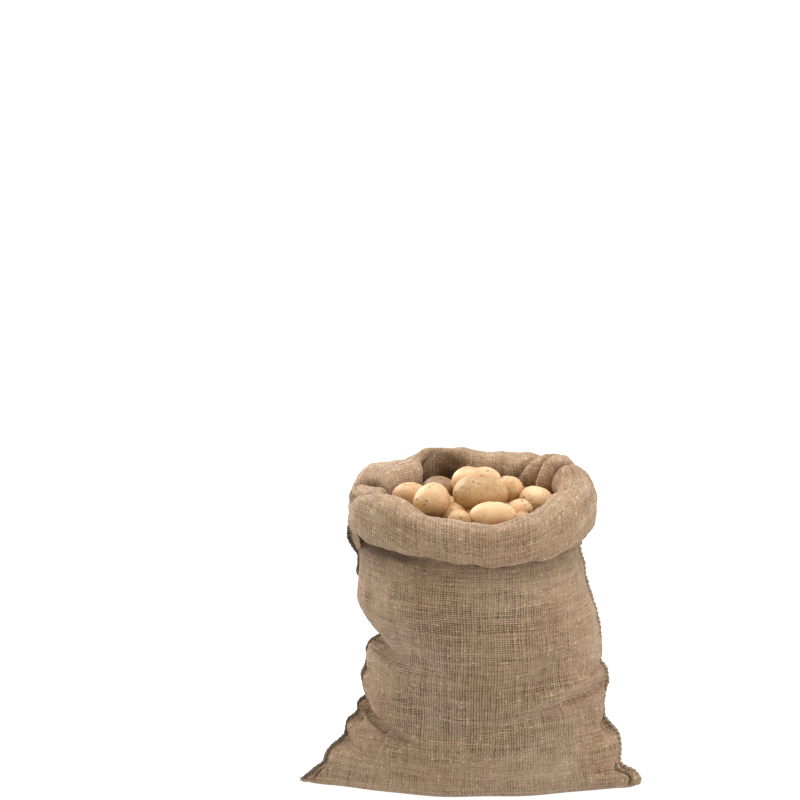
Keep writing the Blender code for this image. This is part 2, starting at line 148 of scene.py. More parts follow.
# The roll's cross-section, from the neck up the inner side, over the crest and down the outer
# side to the hem, which is tucked up inside.
ROLL = table(
    "lean bulge level",
    (0.10, 0.0, 0.04), (0.45, 0.0, 0.24), (0.82, 0.0, 0.44), (1.00, 0.0, 0.64),
    (0.86, 0.0, 0.83), (0.50, 0.0, 0.96), (0.10, 0.0, 1.00), (0.00, 0.55, 0.93),
    (0.00, 0.92, 0.76), (0.00, 1.04, 0.52), (0.00, 0.96, 0.28), (0.00, 0.68, 0.08),
    (0.00, 0.42, 0.01), (0.00, 0.20, 0.12),
)

# How steeply the folds that start in the notches of the edges run down toward the middle of
# the front, by height, and for how many degrees from the edge they do so
FOLD_SLOPES = table(
    "height left right",
    (0.000, 0.00, 0.00), (0.060, 0.16, 0.04), (0.130, 0.28, 0.10),
    (0.180, 0.20, 0.10), (0.260, 0.07, 0.05), (0.340, 0.00, 0.00),
    (0.410, 0.00, 0.00),
)
FOLD_SLOPE_REACH = 60

# Creases and soft folds, each along a line on the cloth from one place to another: angles in
# degrees, and heights up the cloth, which go on past the neck and over the roll. side is +1
# where the lip that hangs over the crease lies above it or further round, and -1 where it lies
# on the other side. A depth below 0 makes a ridge, and bend bows the line toward the lip.
MEAN_RADIUS = 0.19
CREASES = table(
    "angle_from height_from angle_to height_to width depth lip overhang side bend",
    # The left edge, from the notch at the foot up to the one under the cuff
    (183, 0.264, 236, 0.238, 0.0090, 0.016, 0.005, 0.006, 1, 0.000),
    (190, 0.142, 240, 0.096, 0.0135, 0.015, 0.004, 0.005, 1, 0.000),
    (184, 0.124, 196, 0.110, 0.0060, 0.005, 0.002, 0.002, 1, 0.000),
    (192, 0.028, 201, 0.000, 0.0042, 0.009, 0.002, 0.003, 1, 0.000),
    (184, 0.088, 206, 0.070, 0.0080, 0.004, 0.002, 0.002, 1, 0.000),
    (186, 0.203, 206, 0.198, 0.0100, 0.005, 0.003, 0.002, 1, 0.000),
    (190, 0.427, 258, 0.438, 0.0095, 0.032, 0.000, 0.000, -1, 0.000),
    # The right edge
    (352, 0.174, 278, 0.130, 0.0130, 0.021, 0.000, 0.003, -1, -0.014),
    (350, 0.212, 284, 0.164, 0.0170, -0.010, 0.000, 0.000, 1, 0.012),
    (355, 0.219, 322, 0.212, 0.0090, 0.010, 0.006, 0.004, 1, 0.000),
    (356, 0.114, 332, 0.098, 0.0100, 0.010, 0.005, 0.004, 1, 0.000),
    (350, 0.035, 337, 0.000, 0.0045, 0.014, 0.004, 0.004, -1, 0.000),
    (355, 0.150, 340, 0.150, 0.0090, 0.005, 0.003, 0.001, 1, 0.000),
    (356, 0.268, 334, 0.262, 0.0080, 0.003, 0.002, 0.001, 1, 0.000),
    (356, 0.292, 336, 0.290, 0.0080, 0.003, 0.002, 0.001, 1, 0.000),
    # Soft folds across the front
    (306, 0.240, 262, 0.206, 0.0200, 0.005, 0.004, 0.002, 1, 0.000),
    (286, 0.330, 244, 0.352, 0.0240, 0.004, 0.003, 0.001, 1, 0.000),
    (296, 0.150, 252, 0.132, 0.0200, 0.005, 0.004, 0.002, 1, 0.000),
    # The back and its edges
    (177, 0.257, 128, 0.246, 0.0100, 0.015, 0.007, 0.008, 1, 0.000),
    (176, 0.149, 132, 0.156, 0.0100, 0.015, 0.007, 0.008, 1, 0.000),
    (5, 0.220, 48, 0.206, 0.0130, 0.012, 0.006, 0.004, 1, 0.000),
    (4, 0.112, 40, 0.128, 0.0130, 0.010, 0.005, 0.004, 1, 0.000),
    (5, 0.300, 34, 0.282, 0.0130, 0.008, 0.004, 0.003, 1, 0.000),
    (62, 0.118, 108, 0.092, 0.0220, 0.009, 0.004, 0.003, 1, 0.000),
    (70, 0.310, 118, 0.330, 0.0240, 0.006, 0.004, 0.002, 1, 0.000),
)
# How a crease is made: how far before its start it comes in and how far along it starts to fade,
# as shares of its length, how much it narrows, how many times wider its lip and overhang are on
# the far side, and the places and widths of its sides, lip and overhang, in crease widths.
FOLD_STARTS_BEFORE = 0.04
FOLD_FADES_FROM = 0.30
FOLD_NARROWS_BY = 0.45
FOLD_LOBE = 3.0
FOLD_SOFT_SIDE = 1.9
FOLD_SHARP_SIDE = 0.9
LIP_PLACE = 1.9
LIP_WIDTH = 1.5
OVERHANG_PLACE = 0.9
OVERHANG_WIDTH = 1.1
# How many steps of the cloth on each side of a fold give up their length to it
FOLD_TAKES_FROM = 16

# The light of the white studio by the height of the direction it comes from, -1 down to 1 up
SKY = ((-0.45, 0.58), (-0.15, 1.0), (0.30, 1.0), (0.60, 0.0))

# Soft lamps round the sack
LAMPS = table(
    "name place share",
    ("top_lamp", (0.1, 0.0, 2.2), 1.36),
    ("back_left_lamp", (-1.2, 1.0, 1.4), 1.30),
    ("back_right_lamp", (1.2, 1.0, 1.4), 0.26),
    ("right_lamp", (1.7, -0.1, 0.9), 0.43),
    ("right_low_lamp", (1.5, -1.1, 0.25), 0.24),
    ("left_low_lamp", (-1.5, -1.1, 0.25), 0.26),
)

# Pleats that cross the rolled mouth, where the gathered cloth folds as it goes over the rim:
# the angle of the fold's edge at each of the stations, its half width, how high its lip stands,
# how deep the trough beside it is, how far the lip laps over the trough, on which side the
# trough lies, how many half widths the lobe behind the lip takes to die away, and the station
# where the pleat has run out.
PLEAT_STATIONS = (0, 3, 5, 6, 6.5, 7.2, 9)
PLEATS = table(
    "angles half_width height depth lap side lobe until",
    ((60, 49, 39, 34, 32, 28, 22), 0.012, 0.013, 0.010, 0.006, 1, 3.5, 8.2),
    ((44, 31, 26, 24, 23, 19, 6), 0.011, 0.012, 0.013, 0.006, 1, 3.0, 9.2),
    ((25, 17, 15, 14, 10, -4, -60), 0.007, 0.002, 0.017, 0.005, 1, 4.0, 9.2),
    ((130, 128, 124, 122, 121, 119, 116), 0.020, 0.012, 0.018, 0.003, -1, 3.0, 6.6),
    ((167, 167, 168, 170, 172, 174, 176), 0.010, 0.004, 0.022, 0.003, 1, 3.0, 8.0),
    ((166, 174, 183, 183, 182, 180, 178), 0.008, 0.007, 0.000, 0.003, -1, 2.0, 8.0),
    ((230, 226, 221, 216, 212, 206, 190), 0.012, 0.006, 0.009, 0.003, -1, 2.5, 10.0),
    ((93, 93, 94, 94, 95, 95, 95), 0.026, 0.003, 0.002, 0.000, 1, 1.5, 8.0),
    ((330, 332, 334, 335, 336, 337, 340), 0.026, 0.003, 0.002, 0.000, 1, 1.5, 9.5),
)
# How a pleat is made: how many stations it takes to run out, how steep its lip is toward the
# trough, where the trough lies and how wide it is, in half widths, how much of its height and
# depth is left on the crest, and how deep a trough has to be for painted shade to darken it.
PLEAT_FADE = 2.6
PLEAT_STEEP_SIDE = 0.8
PLEAT_TROUGH_PLACE = 1.3
PLEAT_TROUGH_WIDTH = 0.9
PLEAT_CREST_STATION = 6.4
PLEAT_CREST_HEIGHT = 0.55
PLEAT_CREST_DEPTH = 0.60
PLEAT_DARK_DEPTHS = (0.003, 0.015)
# The lengths along the cloth of a degree round the rim and of one station, and the step by which
# a pleat's slant is measured, in stations.
DEGREE_LENGTH = 0.0033
STATION_LENGTH = 0.016
PLEAT_STEP = 0.1

# Uneven waves over the cloth: the lumps that the potatoes make, the broad ones under them, and
# the small wrinkles, each with its longest and shortest wave, its seed and its number of waves.
LUMPS, BROAD_LUMPS, WRINKLES = table(
    "longest shortest seed count",
    (0.130, 0.050, 3, 26),
    (0.340, 0.200, 4, 26),
    (0.060, 0.022, 8, 40),
)
BROAD_SHARE = 0.6
WRINKLES_UPRIGHT = 1.3
ROLL_WRINKLES = 1.2

# The rings under the sack, as shares of the way out to the foot, how far the weave runs on from
# them to the middle, and the height up to which the rings of the wall are close together.
BASE_RINGS = (0.06, 0.97)
BASE_TIP_BEYOND = 0.02
FOOT_TOP = 0.05
# Ranges over which the cloth's forms come in or end: by height for the wall and its creases, by
# station for the roll, and by degrees from a seam. EDGE_SHARPNESS keeps lumps off the seams.
WALL_STARTS = (0.004, 0.055)
CREASES_START = (-0.012, 0.010)
WALL_ENDS = (0.43, 0.46)
ROLL_STARTS = (-1.5, 2.0)
CREASES_OFF_SEAM = (0.5, 7.0)
EDGE_SHARPNESS = 14

# Where the weave is drawn open, by height over the belly and by station on the front of the
# cuff, and where shade is painted on it: inside the mouth, in the pleats and in the back hollow.
BELLY_STARTS = (0.05, 0.13)
BELLY_ENDS = (0.33, 0.40)
BELLY_FACES = (0.45, 0.9)
CUFF_OPENS = (7.0, 9.0)
CUFF_OPENNESS = 0.16
SHADE_PAINT_STARTS = (-4.0, 0.0)
SHADE_PAINT_ENDS = (0.5, 4.5)
PLEAT_SHADE_PAINT = 0.9
HOLLOW_ANGLE = 101
HOLLOW_WIDTH = 16
HOLLOW_ENDS = (3.5, 6.0)
HOLLOW_SHADE_PAINT = 1.4

# The flap of cloth that the left seam carries out under the cuff, by height: how far out its
# root lies and how wide the root is on each side of the seam.
FLAP = table(
    "height root half_width",
    (0.384, 0.1860, 0.007), (0.400, 0.1850, 0.012), (0.415, 0.1850, 0.016),
    (0.430, 0.1870, 0.018), (0.445, 0.1940, 0.016), (0.460, 0.1990, 0.010),
)
FLAP_ROWS = 26
FLAP_COLUMNS = 15
FLAP_ROUNDNESS = 0.8
FLAP_TUCK = 0.0030

# The sewn edge down each side: the height it starts at, how far out of the cloth it lies, how
# far it runs on up under the cuff, by its angle, and how far apart its points and wobbles are.
SEAM_BOTTOM = 0.004
SEAM_OUTSIDE = 0.0012
SEAM_TAILS = {180: 0.048, 0: 0.014}
SEAM_TAIL_POINTS = 12
SEAM_STEP = 0.0015
SEAM_WOBBLE_STEP = 0.007
SEAM_SEEDS = {180: 0, 0: 1}
# Between these heights the left seam turns to the back, by this many degrees round the sack, and
# from the last one on up it springs out in a loop.
SEAM_TURNS_BACK = (0.256, 0.276)
SEAM_TURNS_OUT = (0.345, 0.366)
SEAM_TURN = 22
SEAM_LOOP_FROM = 0.400
SEAM_LOOP_TURN = 0.72
# The row of the cloth that the fray at the left corner grows from, counted up from the floor
CORNER_ROW = 2

# The selvedges' cord and the twine whipped round it: how much deeper than wide the cord is, how
# far the stitches wander and squeeze it, and how far the twine reaches round it, in cord radii.
CORD_SIDES = 12
CORD_DEPTH = 1.25
STITCH_KNOTS = 60
STITCH_WANDER = 0.8
STITCH_SQUEEZE = 0.16
CORD_UNEVENNESS = 0.10
TWINE_STEP = 0.0009
TWINE_SIDES = 7
TWINE_GRIP = 1.15
TWINE_MIDDLE = 0.35
TWINE_REACH = (1.35, 1.45)

# Loose fibres: how many points and sides each has, how thick its end is for its start, how long
# it is, how far and in what bow it stands off the cloth, how far it wanders, the lowest that it
# may lie, a hair's shift of every fibre, and its dark and light colours.
FIBRE_POINTS = 5
FIBRE_SIDES = 3
FIBRE_TIP = 0.4
FIBRE_LENGTHS = (0.006, 0.018)
FIBRE_LIFTS = (0.1, 0.5)
FIBRE_BOWS = (0.6, 1.1)
FIBRE_OFF_CLOTH = 0.0003
FIBRE_WANDER = 0.0006
FIBRE_LOWEST = 0.0005
FIBRE_SHIFT = (0.0, 0.00001, 0.0)
FIBRE_COLOURS = ((0.30, 0.21, 0.13), (0.60, 0.46, 0.31))
# The fray at the left corner: the way it spreads and how widely, and how far back from the
# corner and how widely its fibres start, with the rest as for the loose fibres.
FRAY_COUNT = 90
FRAY_WAY = (-1.0, 0.0, 0.12)
FRAY_SPREAD = (0.25, 0.45, 0.30)
FRAY_SET_BACK = 0.006
FRAY_SCATTER = (0.001, 0.002, 0.0015)
FRAY_BEND = 0.0015
FRAY_LENGTHS = (0.008, 0.015)
FRAY_RADIUS = 0.0004
FRAY_LOWEST = 0.0006
FRAY_COLOURS = ((0.45, 0.36, 0.25), (0.85, 0.78, 0.65))

# Each potato that shows: its node, its length, width and height, how far it is turned about the
# vertical and tipped end to end, in degrees, how dark it is painted, partly its skin's own tone
# and partly painted shade where it lies in shadow, how many eyes it has, and how far it is drawn
# in at its middle.
POTATOES = table(
    "node length width height yaw pitch dusk eyes waist",
    ("potato_centre", 0.086, 0.062, 0.060, 6, 4, 0.98, 11, 0.00),
    ("potato_back", 0.080, 0.056, 0.054, -6, -4, 0.15, 9, 0.16),
    ("potato_back_right", 0.046, 0.042, 0.046, 50, 12, 0.50, 8, 0.05),
    ("potato_left", 0.060, 0.054, 0.054, 24, -8, 0.28, 12, 0.00),
    ("potato_far_left", 0.064, 0.046, 0.044, 14, 6, 0.40, 8, 0.00),
    ("potato_left_front", 0.040, 0.034, 0.032, -30, 0, 0.10, 5, 0.00),
    ("potato_front", 0.076, 0.050, 0.050, 4, 3, 0.06, 10, 0.03),
    ("potato_front_small", 0.050, 0.036, 0.036, -36, -22, 0.05, 9, 0.00),
    ("potato_right", 0.058, 0.048, 0.048, -16, 10, -0.08, 8, 0.04),
    ("potato_front_low", 0.040, 0.034, 0.034, -20, 0, 0.45, 5, 0.00),
    ("potato_back_left", 0.062, 0.050, 0.048, 30, 0, 1.80, 7, 0.00),
    ("potato_back_low", 0.058, 0.046, 0.044, -35, 0, 1.75, 7, 0.00),
)
POTATO_GROWTH = 1.06
FIRST_POTATO_SEED = 40
# A potato's uneven form, and its eyes, which wind round it: each is a pit with a brow beside it,
# whose place and width are in eye radii.
FORM_WAVES = 7
FORM_WAVE = 0.020
FORM_PITCHES = (1.5, 4.5)
FORM_START = 2.0
FORM_TAPER = 0.05
WAIST_WIDTH = 0.3
EYE_TURN = 2.39996
EYE_WANDER = 0.35
EYE_RADII = (0.0022, 0.0038)
EYE_STRETCH = (1, 1.25, 1.25)
EYE_DEPTH = 0.0013
EYE_MARKS = (0.5, 1.0)
BROW_HEIGHT = 0.0007
BROW_PLACE = 1.8
BROW_WIDTH = 0.9

# The potatoes under those that show: the space that they are pushed apart in, where they start,
# their sizes and form, how many times and how far they are pushed, and how large the potatoes
# that show are to them, as a share of their own size.
UNDER_REACH = np.array([0.135, 0.108])
UNDER_HEIGHTS = (0.425, 0.476)
UNDER_START_SHARE = 0.8
UNDER_START_HEIGHTS = (0.435, 0.470)
UNDER_RADII = (0.021, 0.027)
UNDER_SHAPE = np.array([1.22, 1.0, 0.94])
UNDER_PUSHES = 120
UNDER_PUSH = 0.4
UNDER_LIFT = 0.5
UNDER_TURNS = (-1.5, 1.5)
UNDER_EYES = 6
UNDER_RINGS = 26
UNDER_SEGMENTS = 44
# How dark the under potatoes are painted: partly their skin's tone, partly painted shade.
UNDER_TONE_AND_SHADE = 0.7
UNDER_SEED = 5
FIRST_UNDER_SEED = 90
SHOWN_SHARE = 0.42

# The view: where the sack's middle is, how far it stands right of and below the view's middle,
# and the sensor's width in millimetres.
SACK_MIDDLE = Vector((0, 0, 0.27))
VIEW_RIGHT = 0.1222
VIEW_BELOW = 0.3859
SENSOR_WIDTH = 36.0

# The floor: how far it reaches, how far below the sack it lies, and how much it glows.
FLOOR_REACH = 30.0
FLOOR_CORNERS = ((-1, -1), (1, -1), (1, 1), (-1, 1))
FLOOR_DROP = 0.0004
FLOOR_GLOW = 0.86


def through_points(places, values, at):
    """Values of the smooth curve through (places, values), with no overshoot between them."""
    places = np.asarray(places, float)
    values = np.asarray(values, float)
    steps = np.diff(places)
    slopes = np.diff(values) / steps
    tangents = np.empty_like(values)
    tangents[0] = slopes[0]
    tangents[-1] = slopes[-1]
    same_way = slopes[:-1] * slopes[1:] > 0
    mean = 2 * slopes[:-1] * slopes[1:] / np.where(same_way, slopes[:-1] + slopes[1:], 1)
    tangents[1:-1] = np.where(same_way, mean, 0)
    at = np.clip(at, places[0], places[-1])
    i = np.clip(np.searchsorted(places, at, side="right") - 1, 0, len(steps) - 1)
    h = steps[i]
    t = (at - places[i]) / h
    return (
        (1 + 2 * t) * (1 - t) ** 2 * values[i]
        + t * (1 - t) ** 2 * h * tangents[i]
        + t * t * (3 - 2 * t) * values[i + 1]
        + t * t * (t - 1) * h * tangents[i + 1]
    )


def column(rows, name, height):
    """A named column of a table, as a smooth curve by height."""
    return through_points([r.height for r in rows], [getattr(r, name) for r in rows], height)


def rim_column(name, angle):
    """A column of RIM at an angle, going smoothly round."""
    turns = (-360, 0, 360)
    places = [r.angle + turn for turn in turns for r in RIM]
    values = [getattr(r, name) for turn in turns for r in RIM]
    return through_points(places, values, np.mod(angle, 360))


def smooth_step(low, high, at):
    """0 below low and 1 above high, and smooth between."""
    t = np.clip((at - low) / (high - low), 0, 1)
    return t * t * (3 - 2 * t)


def turn_from(angle, start):
    """How far round from start, between -180 and 180 degrees."""
    return np.mod(angle - start + 180, 360) - 180


def bell(at):
    """1 at 0, dying away evenly on both sides."""
    return np.exp(-(at**2))


def unit(vectors):
    return vectors / np.maximum(np.linalg.norm(vectors, axis=-1, keepdims=True), 1e-12)


def wall(angle, height):
    """Points of the wall with no folds in it, and the level outward direction at each."""

    def place(angle):
        theta = np.radians(angle)
        c, s = np.cos(theta), np.sin(theta)
        right, behind = c > 0, s > 0

        def sided(rows, height, name=""):
            """The figures for the side of the sack that each point is on."""
            sides = (column(rows, name + side, height) for side in ("right", "left"))
            return np.where(right, *sides)

        from_seam = np.abs(turn_from(angle, np.where(right, 0, 180)))
        drop = np.radians(np.minimum(from_seam, FOLD_SLOPE_REACH)) * MEAN_RADIUS
        drop = np.where(behind, 0, sided(FOLD_SLOPES, height) * drop)
        reach = sided(EDGES, np.minimum(height + drop, NECK_HEIGHT))
        nose, swing = sided(SECTIONS, height, "nose_"), sided(SECTIONS, height, "swing_")
        names = ("front", "back", "pinch_left", "pinch_right")
        front, back, pinch_left, pinch_right = (column(SECTIONS, n, height) for n in names)
        rightness = (1 + c) / 2
        pinch = rightness * pinch_right + (1 - rightness) * pinch_left
        depth = np.where(behind, back, front)
        off_seam = np.abs(s)
        half = nose * (1 - np.exp(-NOSE_SHARPNESS * off_seam))
        half = half + (depth - nose) * off_seam ** (1 + pinch)
        waves = sum(np.cos(count * theta + start) for count, start in FOOT_WAVES)
        half = half * (1 + FOOT_WAVE * waves * (1 - smooth_step(0, FOOT_WAVE_REACH, height)))
        y = np.sign(s) * half + swing * np.abs(c) ** SWING_SHARPNESS
        return np.stack([reach * c, y, height + 0 * c], axis=-1)

    step = 0.5
    run = place(angle + step) - place(angle - step)
    outward = unit(np.stack([run[..., 1], -run[..., 0], 0 * run[..., 0]], axis=-1))
    return place(angle), outward


def roll(angle, station):
    """Points of the rolled mouth. station counts along ROLL, from 0 at its first row."""
    lean, bulge, level = (through_points(range(len(ROLL)), row, station) for row in zip(*ROLL))
    neck, outward = wall(angle, np.full(np.shape(angle), NECK_HEIGHT))
    crest, hem = rim_column("crest", angle), rim_column("hem", angle)
    out = bulge * rim_column("bulge", angle) - lean * rim_column("lean", angle)
    points = neck + outward * out[..., None]
    points[..., 2] = hem + level * (crest - hem)
    return points


def ripples(angle, height, waves):
    """Soft uneven waves over the cloth, about 1 high, that join up where the angle comes round."""
    random = np.random.default_rng(waves.seed)
    total = np.zeros(np.shape(angle))
    for _ in range(waves.count):
        wave_length = waves.longest * (waves.shortest / waves.longest) ** random.random()
        heading = random.random() * pi
        round_it = round(2 * pi * MEAN_RADIUS * cos(heading) / wave_length)
        up_it = 2 * pi * sin(heading) / wave_length
        phase = random.random() * 2 * pi
        total += np.cos(np.radians(angle) * round_it + height * up_it + phase)
    return total / np.sqrt(waves.count / 2)


def crease_shift(angle, height):
    """How far the creases move the cloth out along its normal, and along it as (round, up)."""
    out = np.zeros(np.shape(angle))
    slide = np.zeros((*np.shape(angle), 2))
    for crease in CREASES:
        turn = radians(crease.angle_to - crease.angle_from)
        along = np.array([turn * MEAN_RADIUS, crease.height_to - crease.height_from])
        length = np.hypot(*along)
        along = along / length
        across = np.array([-along[1], along[0]])
        across = across * (-crease.side if across[1] < 0 else crease.side)
        x = np.radians(turn_from(angle, crease.angle_from)) * MEAN_RADIUS
        z = height - crease.height_from
        # share is how far along the crease a point lies, and off how far to the lip's side of it
        share = (x * along[0] + z * along[1]) / length
        inside = np.clip(share, 0, 1)
        off = x * across[0] + z * across[1] - crease.bend * (1 - (2 * inside - 1) ** 2)
        here = bell(np.minimum(share + FOLD_STARTS_BEFORE, 0) * length / crease.width)
        here = here * (1 - smooth_step(FOLD_FADES_FROM, 1.0, share))
        width = crease.width * (1 - FOLD_NARROWS_BY * inside)
        trough = bell(off / (np.where(off < 0, FOLD_SOFT_SIDE, FOLD_SHARP_SIDE) * width))
        lip = off - LIP_PLACE * width
        lip = bell(lip / (np.where(lip > 0, FOLD_LOBE, 1) * LIP_WIDTH * width))
        over = off - OVERHANG_PLACE * width
        over = bell(over / (np.where(over > 0, FOLD_LOBE, 1) * OVERHANG_WIDTH * width))
        out += here * (crease.lip * lip - crease.depth * trough)
        slide -= (here * crease.overhang * over)[..., None] * across
    return out, slide


def pleat_shift(angle, station):
    """How far the pleats over the rim lift the cloth from the roll and move it round the sack.

    The third value is the painted shade that the pleats' troughs give the cloth, from 0 to 1.
    """
    lift = np.zeros(np.shape(angle))
    turn_round = np.zeros(np.shape(angle))
    trough_shade = np.zeros(np.shape(angle))
    at_crest = bell(station - PLEAT_CREST_STATION)
    for p in PLEATS:
        edge = through_points(PLEAT_STATIONS, p.angles, station)
        beyond = through_points(PLEAT_STATIONS, p.angles, station + PLEAT_STEP)
        lean = (beyond - edge) / PLEAT_STEP * DEGREE_LENGTH / STATION_LENGTH
        across = turn_from(angle, edge) * DEGREE_LENGTH / np.hypot(1, lean)
        turn = across * p.side / p.half_width
        lip = bell(turn / np.where(turn > 0, PLEAT_STEEP_SIDE, p.lobe))
        trough = bell((turn - PLEAT_TROUGH_PLACE) / PLEAT_TROUGH_WIDTH)
        strength = 1 - smooth_step(p.until - PLEAT_FADE, p.until, station)
        high = strength * p.height * (1 - (1 - PLEAT_CREST_HEIGHT) * at_crest)
        deep = strength * p.depth * (1 - (1 - PLEAT_CREST_DEPTH) * at_crest)
        lift += high * lip - deep * trough
        turn_round += strength * p.side * p.lap * bell(turn)
        dark = smooth_step(*PLEAT_DARK_DEPTHS, p.depth)
        trough_shade = np.maximum(trough_shade, strength * trough * dark)
    return lift, turn_round, trough_shade


def steps_over(points):
    """The ways round and up at each point of a grid, with rows up and columns round."""
    round_it = np.roll(points, -1, axis=1) - np.roll(points, 1, axis=1)
    return round_it, np.gradient(points, axis=0)


def normals_of(points):
    """Unit normals of a grid of points, facing out of the sack."""
    return unit(np.cross(*steps_over(points)))


def spacing(points):
    """Distances from each point of a grid to the next one round, and to the next one up."""
    run = np.linalg.norm(np.roll(points, -1, axis=1) - points, axis=-1)
    return run, np.linalg.norm(np.diff(points, axis=0), axis=-1)


def smoothed(rows, reach):
    """Each row averaged over so many places on each side."""
    kernel = np.hanning(2 * reach + 3)[1:-1]
    return np.stack([np.convolve(row, kernel / kernel.sum(), mode="same") for row in rows])


def spread_folds(extra, ends):
    """Shifts of the weave along each row, so that it isn't stretched where the cloth folds.

    extra is the length that folds add to each step. The cloth near a fold gives it up.
    """
    margin = 2 * FOLD_TAKES_FROM
    taken = np.cumsum(np.pad(extra, ((0, 0), (margin + 1, margin)), ends), axis=1)
    return (taken - smoothed(taken, FOLD_TAKES_FROM))[:, margin:-margin]


BareCloth = namedtuple("BareCloth", "points angle chart station wall_rows heights half")
ClothGrid = namedtuple(
    "ClothGrid", "points normals uv_from uv_to open_weave soiled wall_rows heights half"
)


def bare_cloth(settings):
    """The cloth with no folds in it, row by row from the middle of the base to the tucked hem.

    angle, chart and station say where each point lies: how far round the sack, how far up the
    cloth from the floor's edge, and how far along ROLL.
    """
    half = settings.segments_back
    angle_row = np.concatenate(
        [
            np.linspace(0, 180, half, endpoint=False),
            np.linspace(180, 360, settings.segments_front, endpoint=False),
        ]
    )
    foot_heights = np.linspace(0, FOOT_TOP, settings.rows_foot, endpoint=False)
    wall_heights = np.linspace(FOOT_TOP, NECK_HEIGHT, settings.rows_wall)
    heights = np.concatenate([foot_heights, wall_heights])
    stations = np.linspace(0, len(ROLL) - 1, settings.rows_roll)
    wall_points = wall(*np.meshgrid(angle_row, heights))[0]
    roll_points = roll(*np.meshgrid(angle_row, stations))
    foot = wall_points[0]
    centre = np.array([0.0, foot[:, 1].mean(), 0.0])
    base_shares = np.linspace(*BASE_RINGS, settings.rows_base)
    base_points = centre + base_shares[:, None, None] * (foot - centre)
    shares = np.linspace(0, 1, settings.rows_neck + 2)[1:-1, None, None]
    neck_points = wall_points[-1] + shares * (roll_points[0] - wall_points[-1])
    points = np.concatenate([base_points, wall_points, neck_points, roll_points])

    # The wall's own heights are kept for the wall, as the creases are placed by them
    first, last = len(base_points), len(base_points) + len(wall_points) - 1
    step = np.linalg.norm(np.diff(points, axis=0), axis=-1).mean(axis=1)
    up = np.concatenate([[0], np.cumsum(step)])
    chart = up - up[first]
    chart[first : last + 1] = heights
    chart[last + 1 :] = NECK_HEIGHT + up[last + 1 :] - up[last]
    station = np.arange(len(points)) - (len(points) - len(roll_points))
    station = station * (stations[1] - stations[0])
    shape = points.shape[:2]
    angle = np.broadcast_to(angle_row, shape)
    chart, station = (np.broadcast_to(rows[:, None], shape) for rows in (chart, station))
    return BareCloth(points, angle, chart, station, slice(first, last + 1), heights, half)


def weave_places(bare, points, settings):
    """Where each step round the cloth starts and ends on the flat bag, across it and up it.

    Each face has its own pair of places across, as the two panels only meet at the seams.
    """
    half = bare.half
    run, climb = spacing(bare.points)
    folded_run, folded_climb = spacing(points)
    shift_u = spread_folds(folded_run - run, "wrap")
    shift_v = spread_folds((folded_climb - climb).T, "constant").T
    across = np.concatenate([np.zeros((len(run), 1)), np.cumsum(run, axis=1)], axis=1)
    back, front = across[:, : half + 1], across[:, half:]
    back = back - back[:, half // 2, None] + 0.5 * settings.bag_width
    front = front - front[:, settings.segments_front // 2, None] + 1.5 * settings.bag_width
    u_from = np.concatenate([back[:, :-1], front[:, :-1]], axis=1)
    u_to = np.concatenate([back[:, 1:], front[:, 1:]], axis=1)
    columns = run.shape[1]
    last = bare.wall_rows.stop - 1
    climb[:last] = climb[:last].mean(axis=1, keepdims=True)
    v = np.concatenate([np.zeros((1, columns)), np.cumsum(climb, axis=0)])
    v = v - v[bare.wall_rows.start]
    reach = columns // 12
    v = smoothed(np.pad(v, ((0, 0), (reach, reach)), "wrap"), reach)[:, reach:-reach] + shift_v
    uv_from = np.stack([u_from + shift_u[:, :-1], v], axis=-1)
    uv_to = np.stack([u_to + shift_u[:, 1:], np.roll(v, -1, axis=1)], axis=-1)
    return uv_from, uv_to


def weave_state(bare, pleat_shade):
    """How far the weave is drawn open at each point, and how much painted shade darkens it."""
    station = bare.station
    backness = np.sin(np.radians(bare.angle))
    belly = smooth_step(*BELLY_STARTS, bare.chart) * (1 - smooth_step(*BELLY_ENDS, bare.chart))
    open_weave = belly * smooth_step(*BELLY_FACES, np.abs(backness))
    on_cuff = smooth_step(*CUFF_OPENS, station) * np.clip(-backness, 0, 1)
    # Painted shade: the cloth is darkened inside the mouth, in the pleats' troughs and in the
    # hollow at the back.
    inside = smooth_step(*SHADE_PAINT_STARTS, station)
    soiled = inside * (1 - smooth_step(*SHADE_PAINT_ENDS, station))
    hollow = bell(turn_from(bare.angle, HOLLOW_ANGLE) / HOLLOW_WIDTH) * inside
    hollow = hollow * (1 - smooth_step(*HOLLOW_ENDS, station))
    soiled = np.maximum(np.maximum(soiled, PLEAT_SHADE_PAINT * pleat_shade), HOLLOW_SHADE_PAINT * hollow)
    return open_weave + CUFF_OPENNESS * on_cuff, soiled


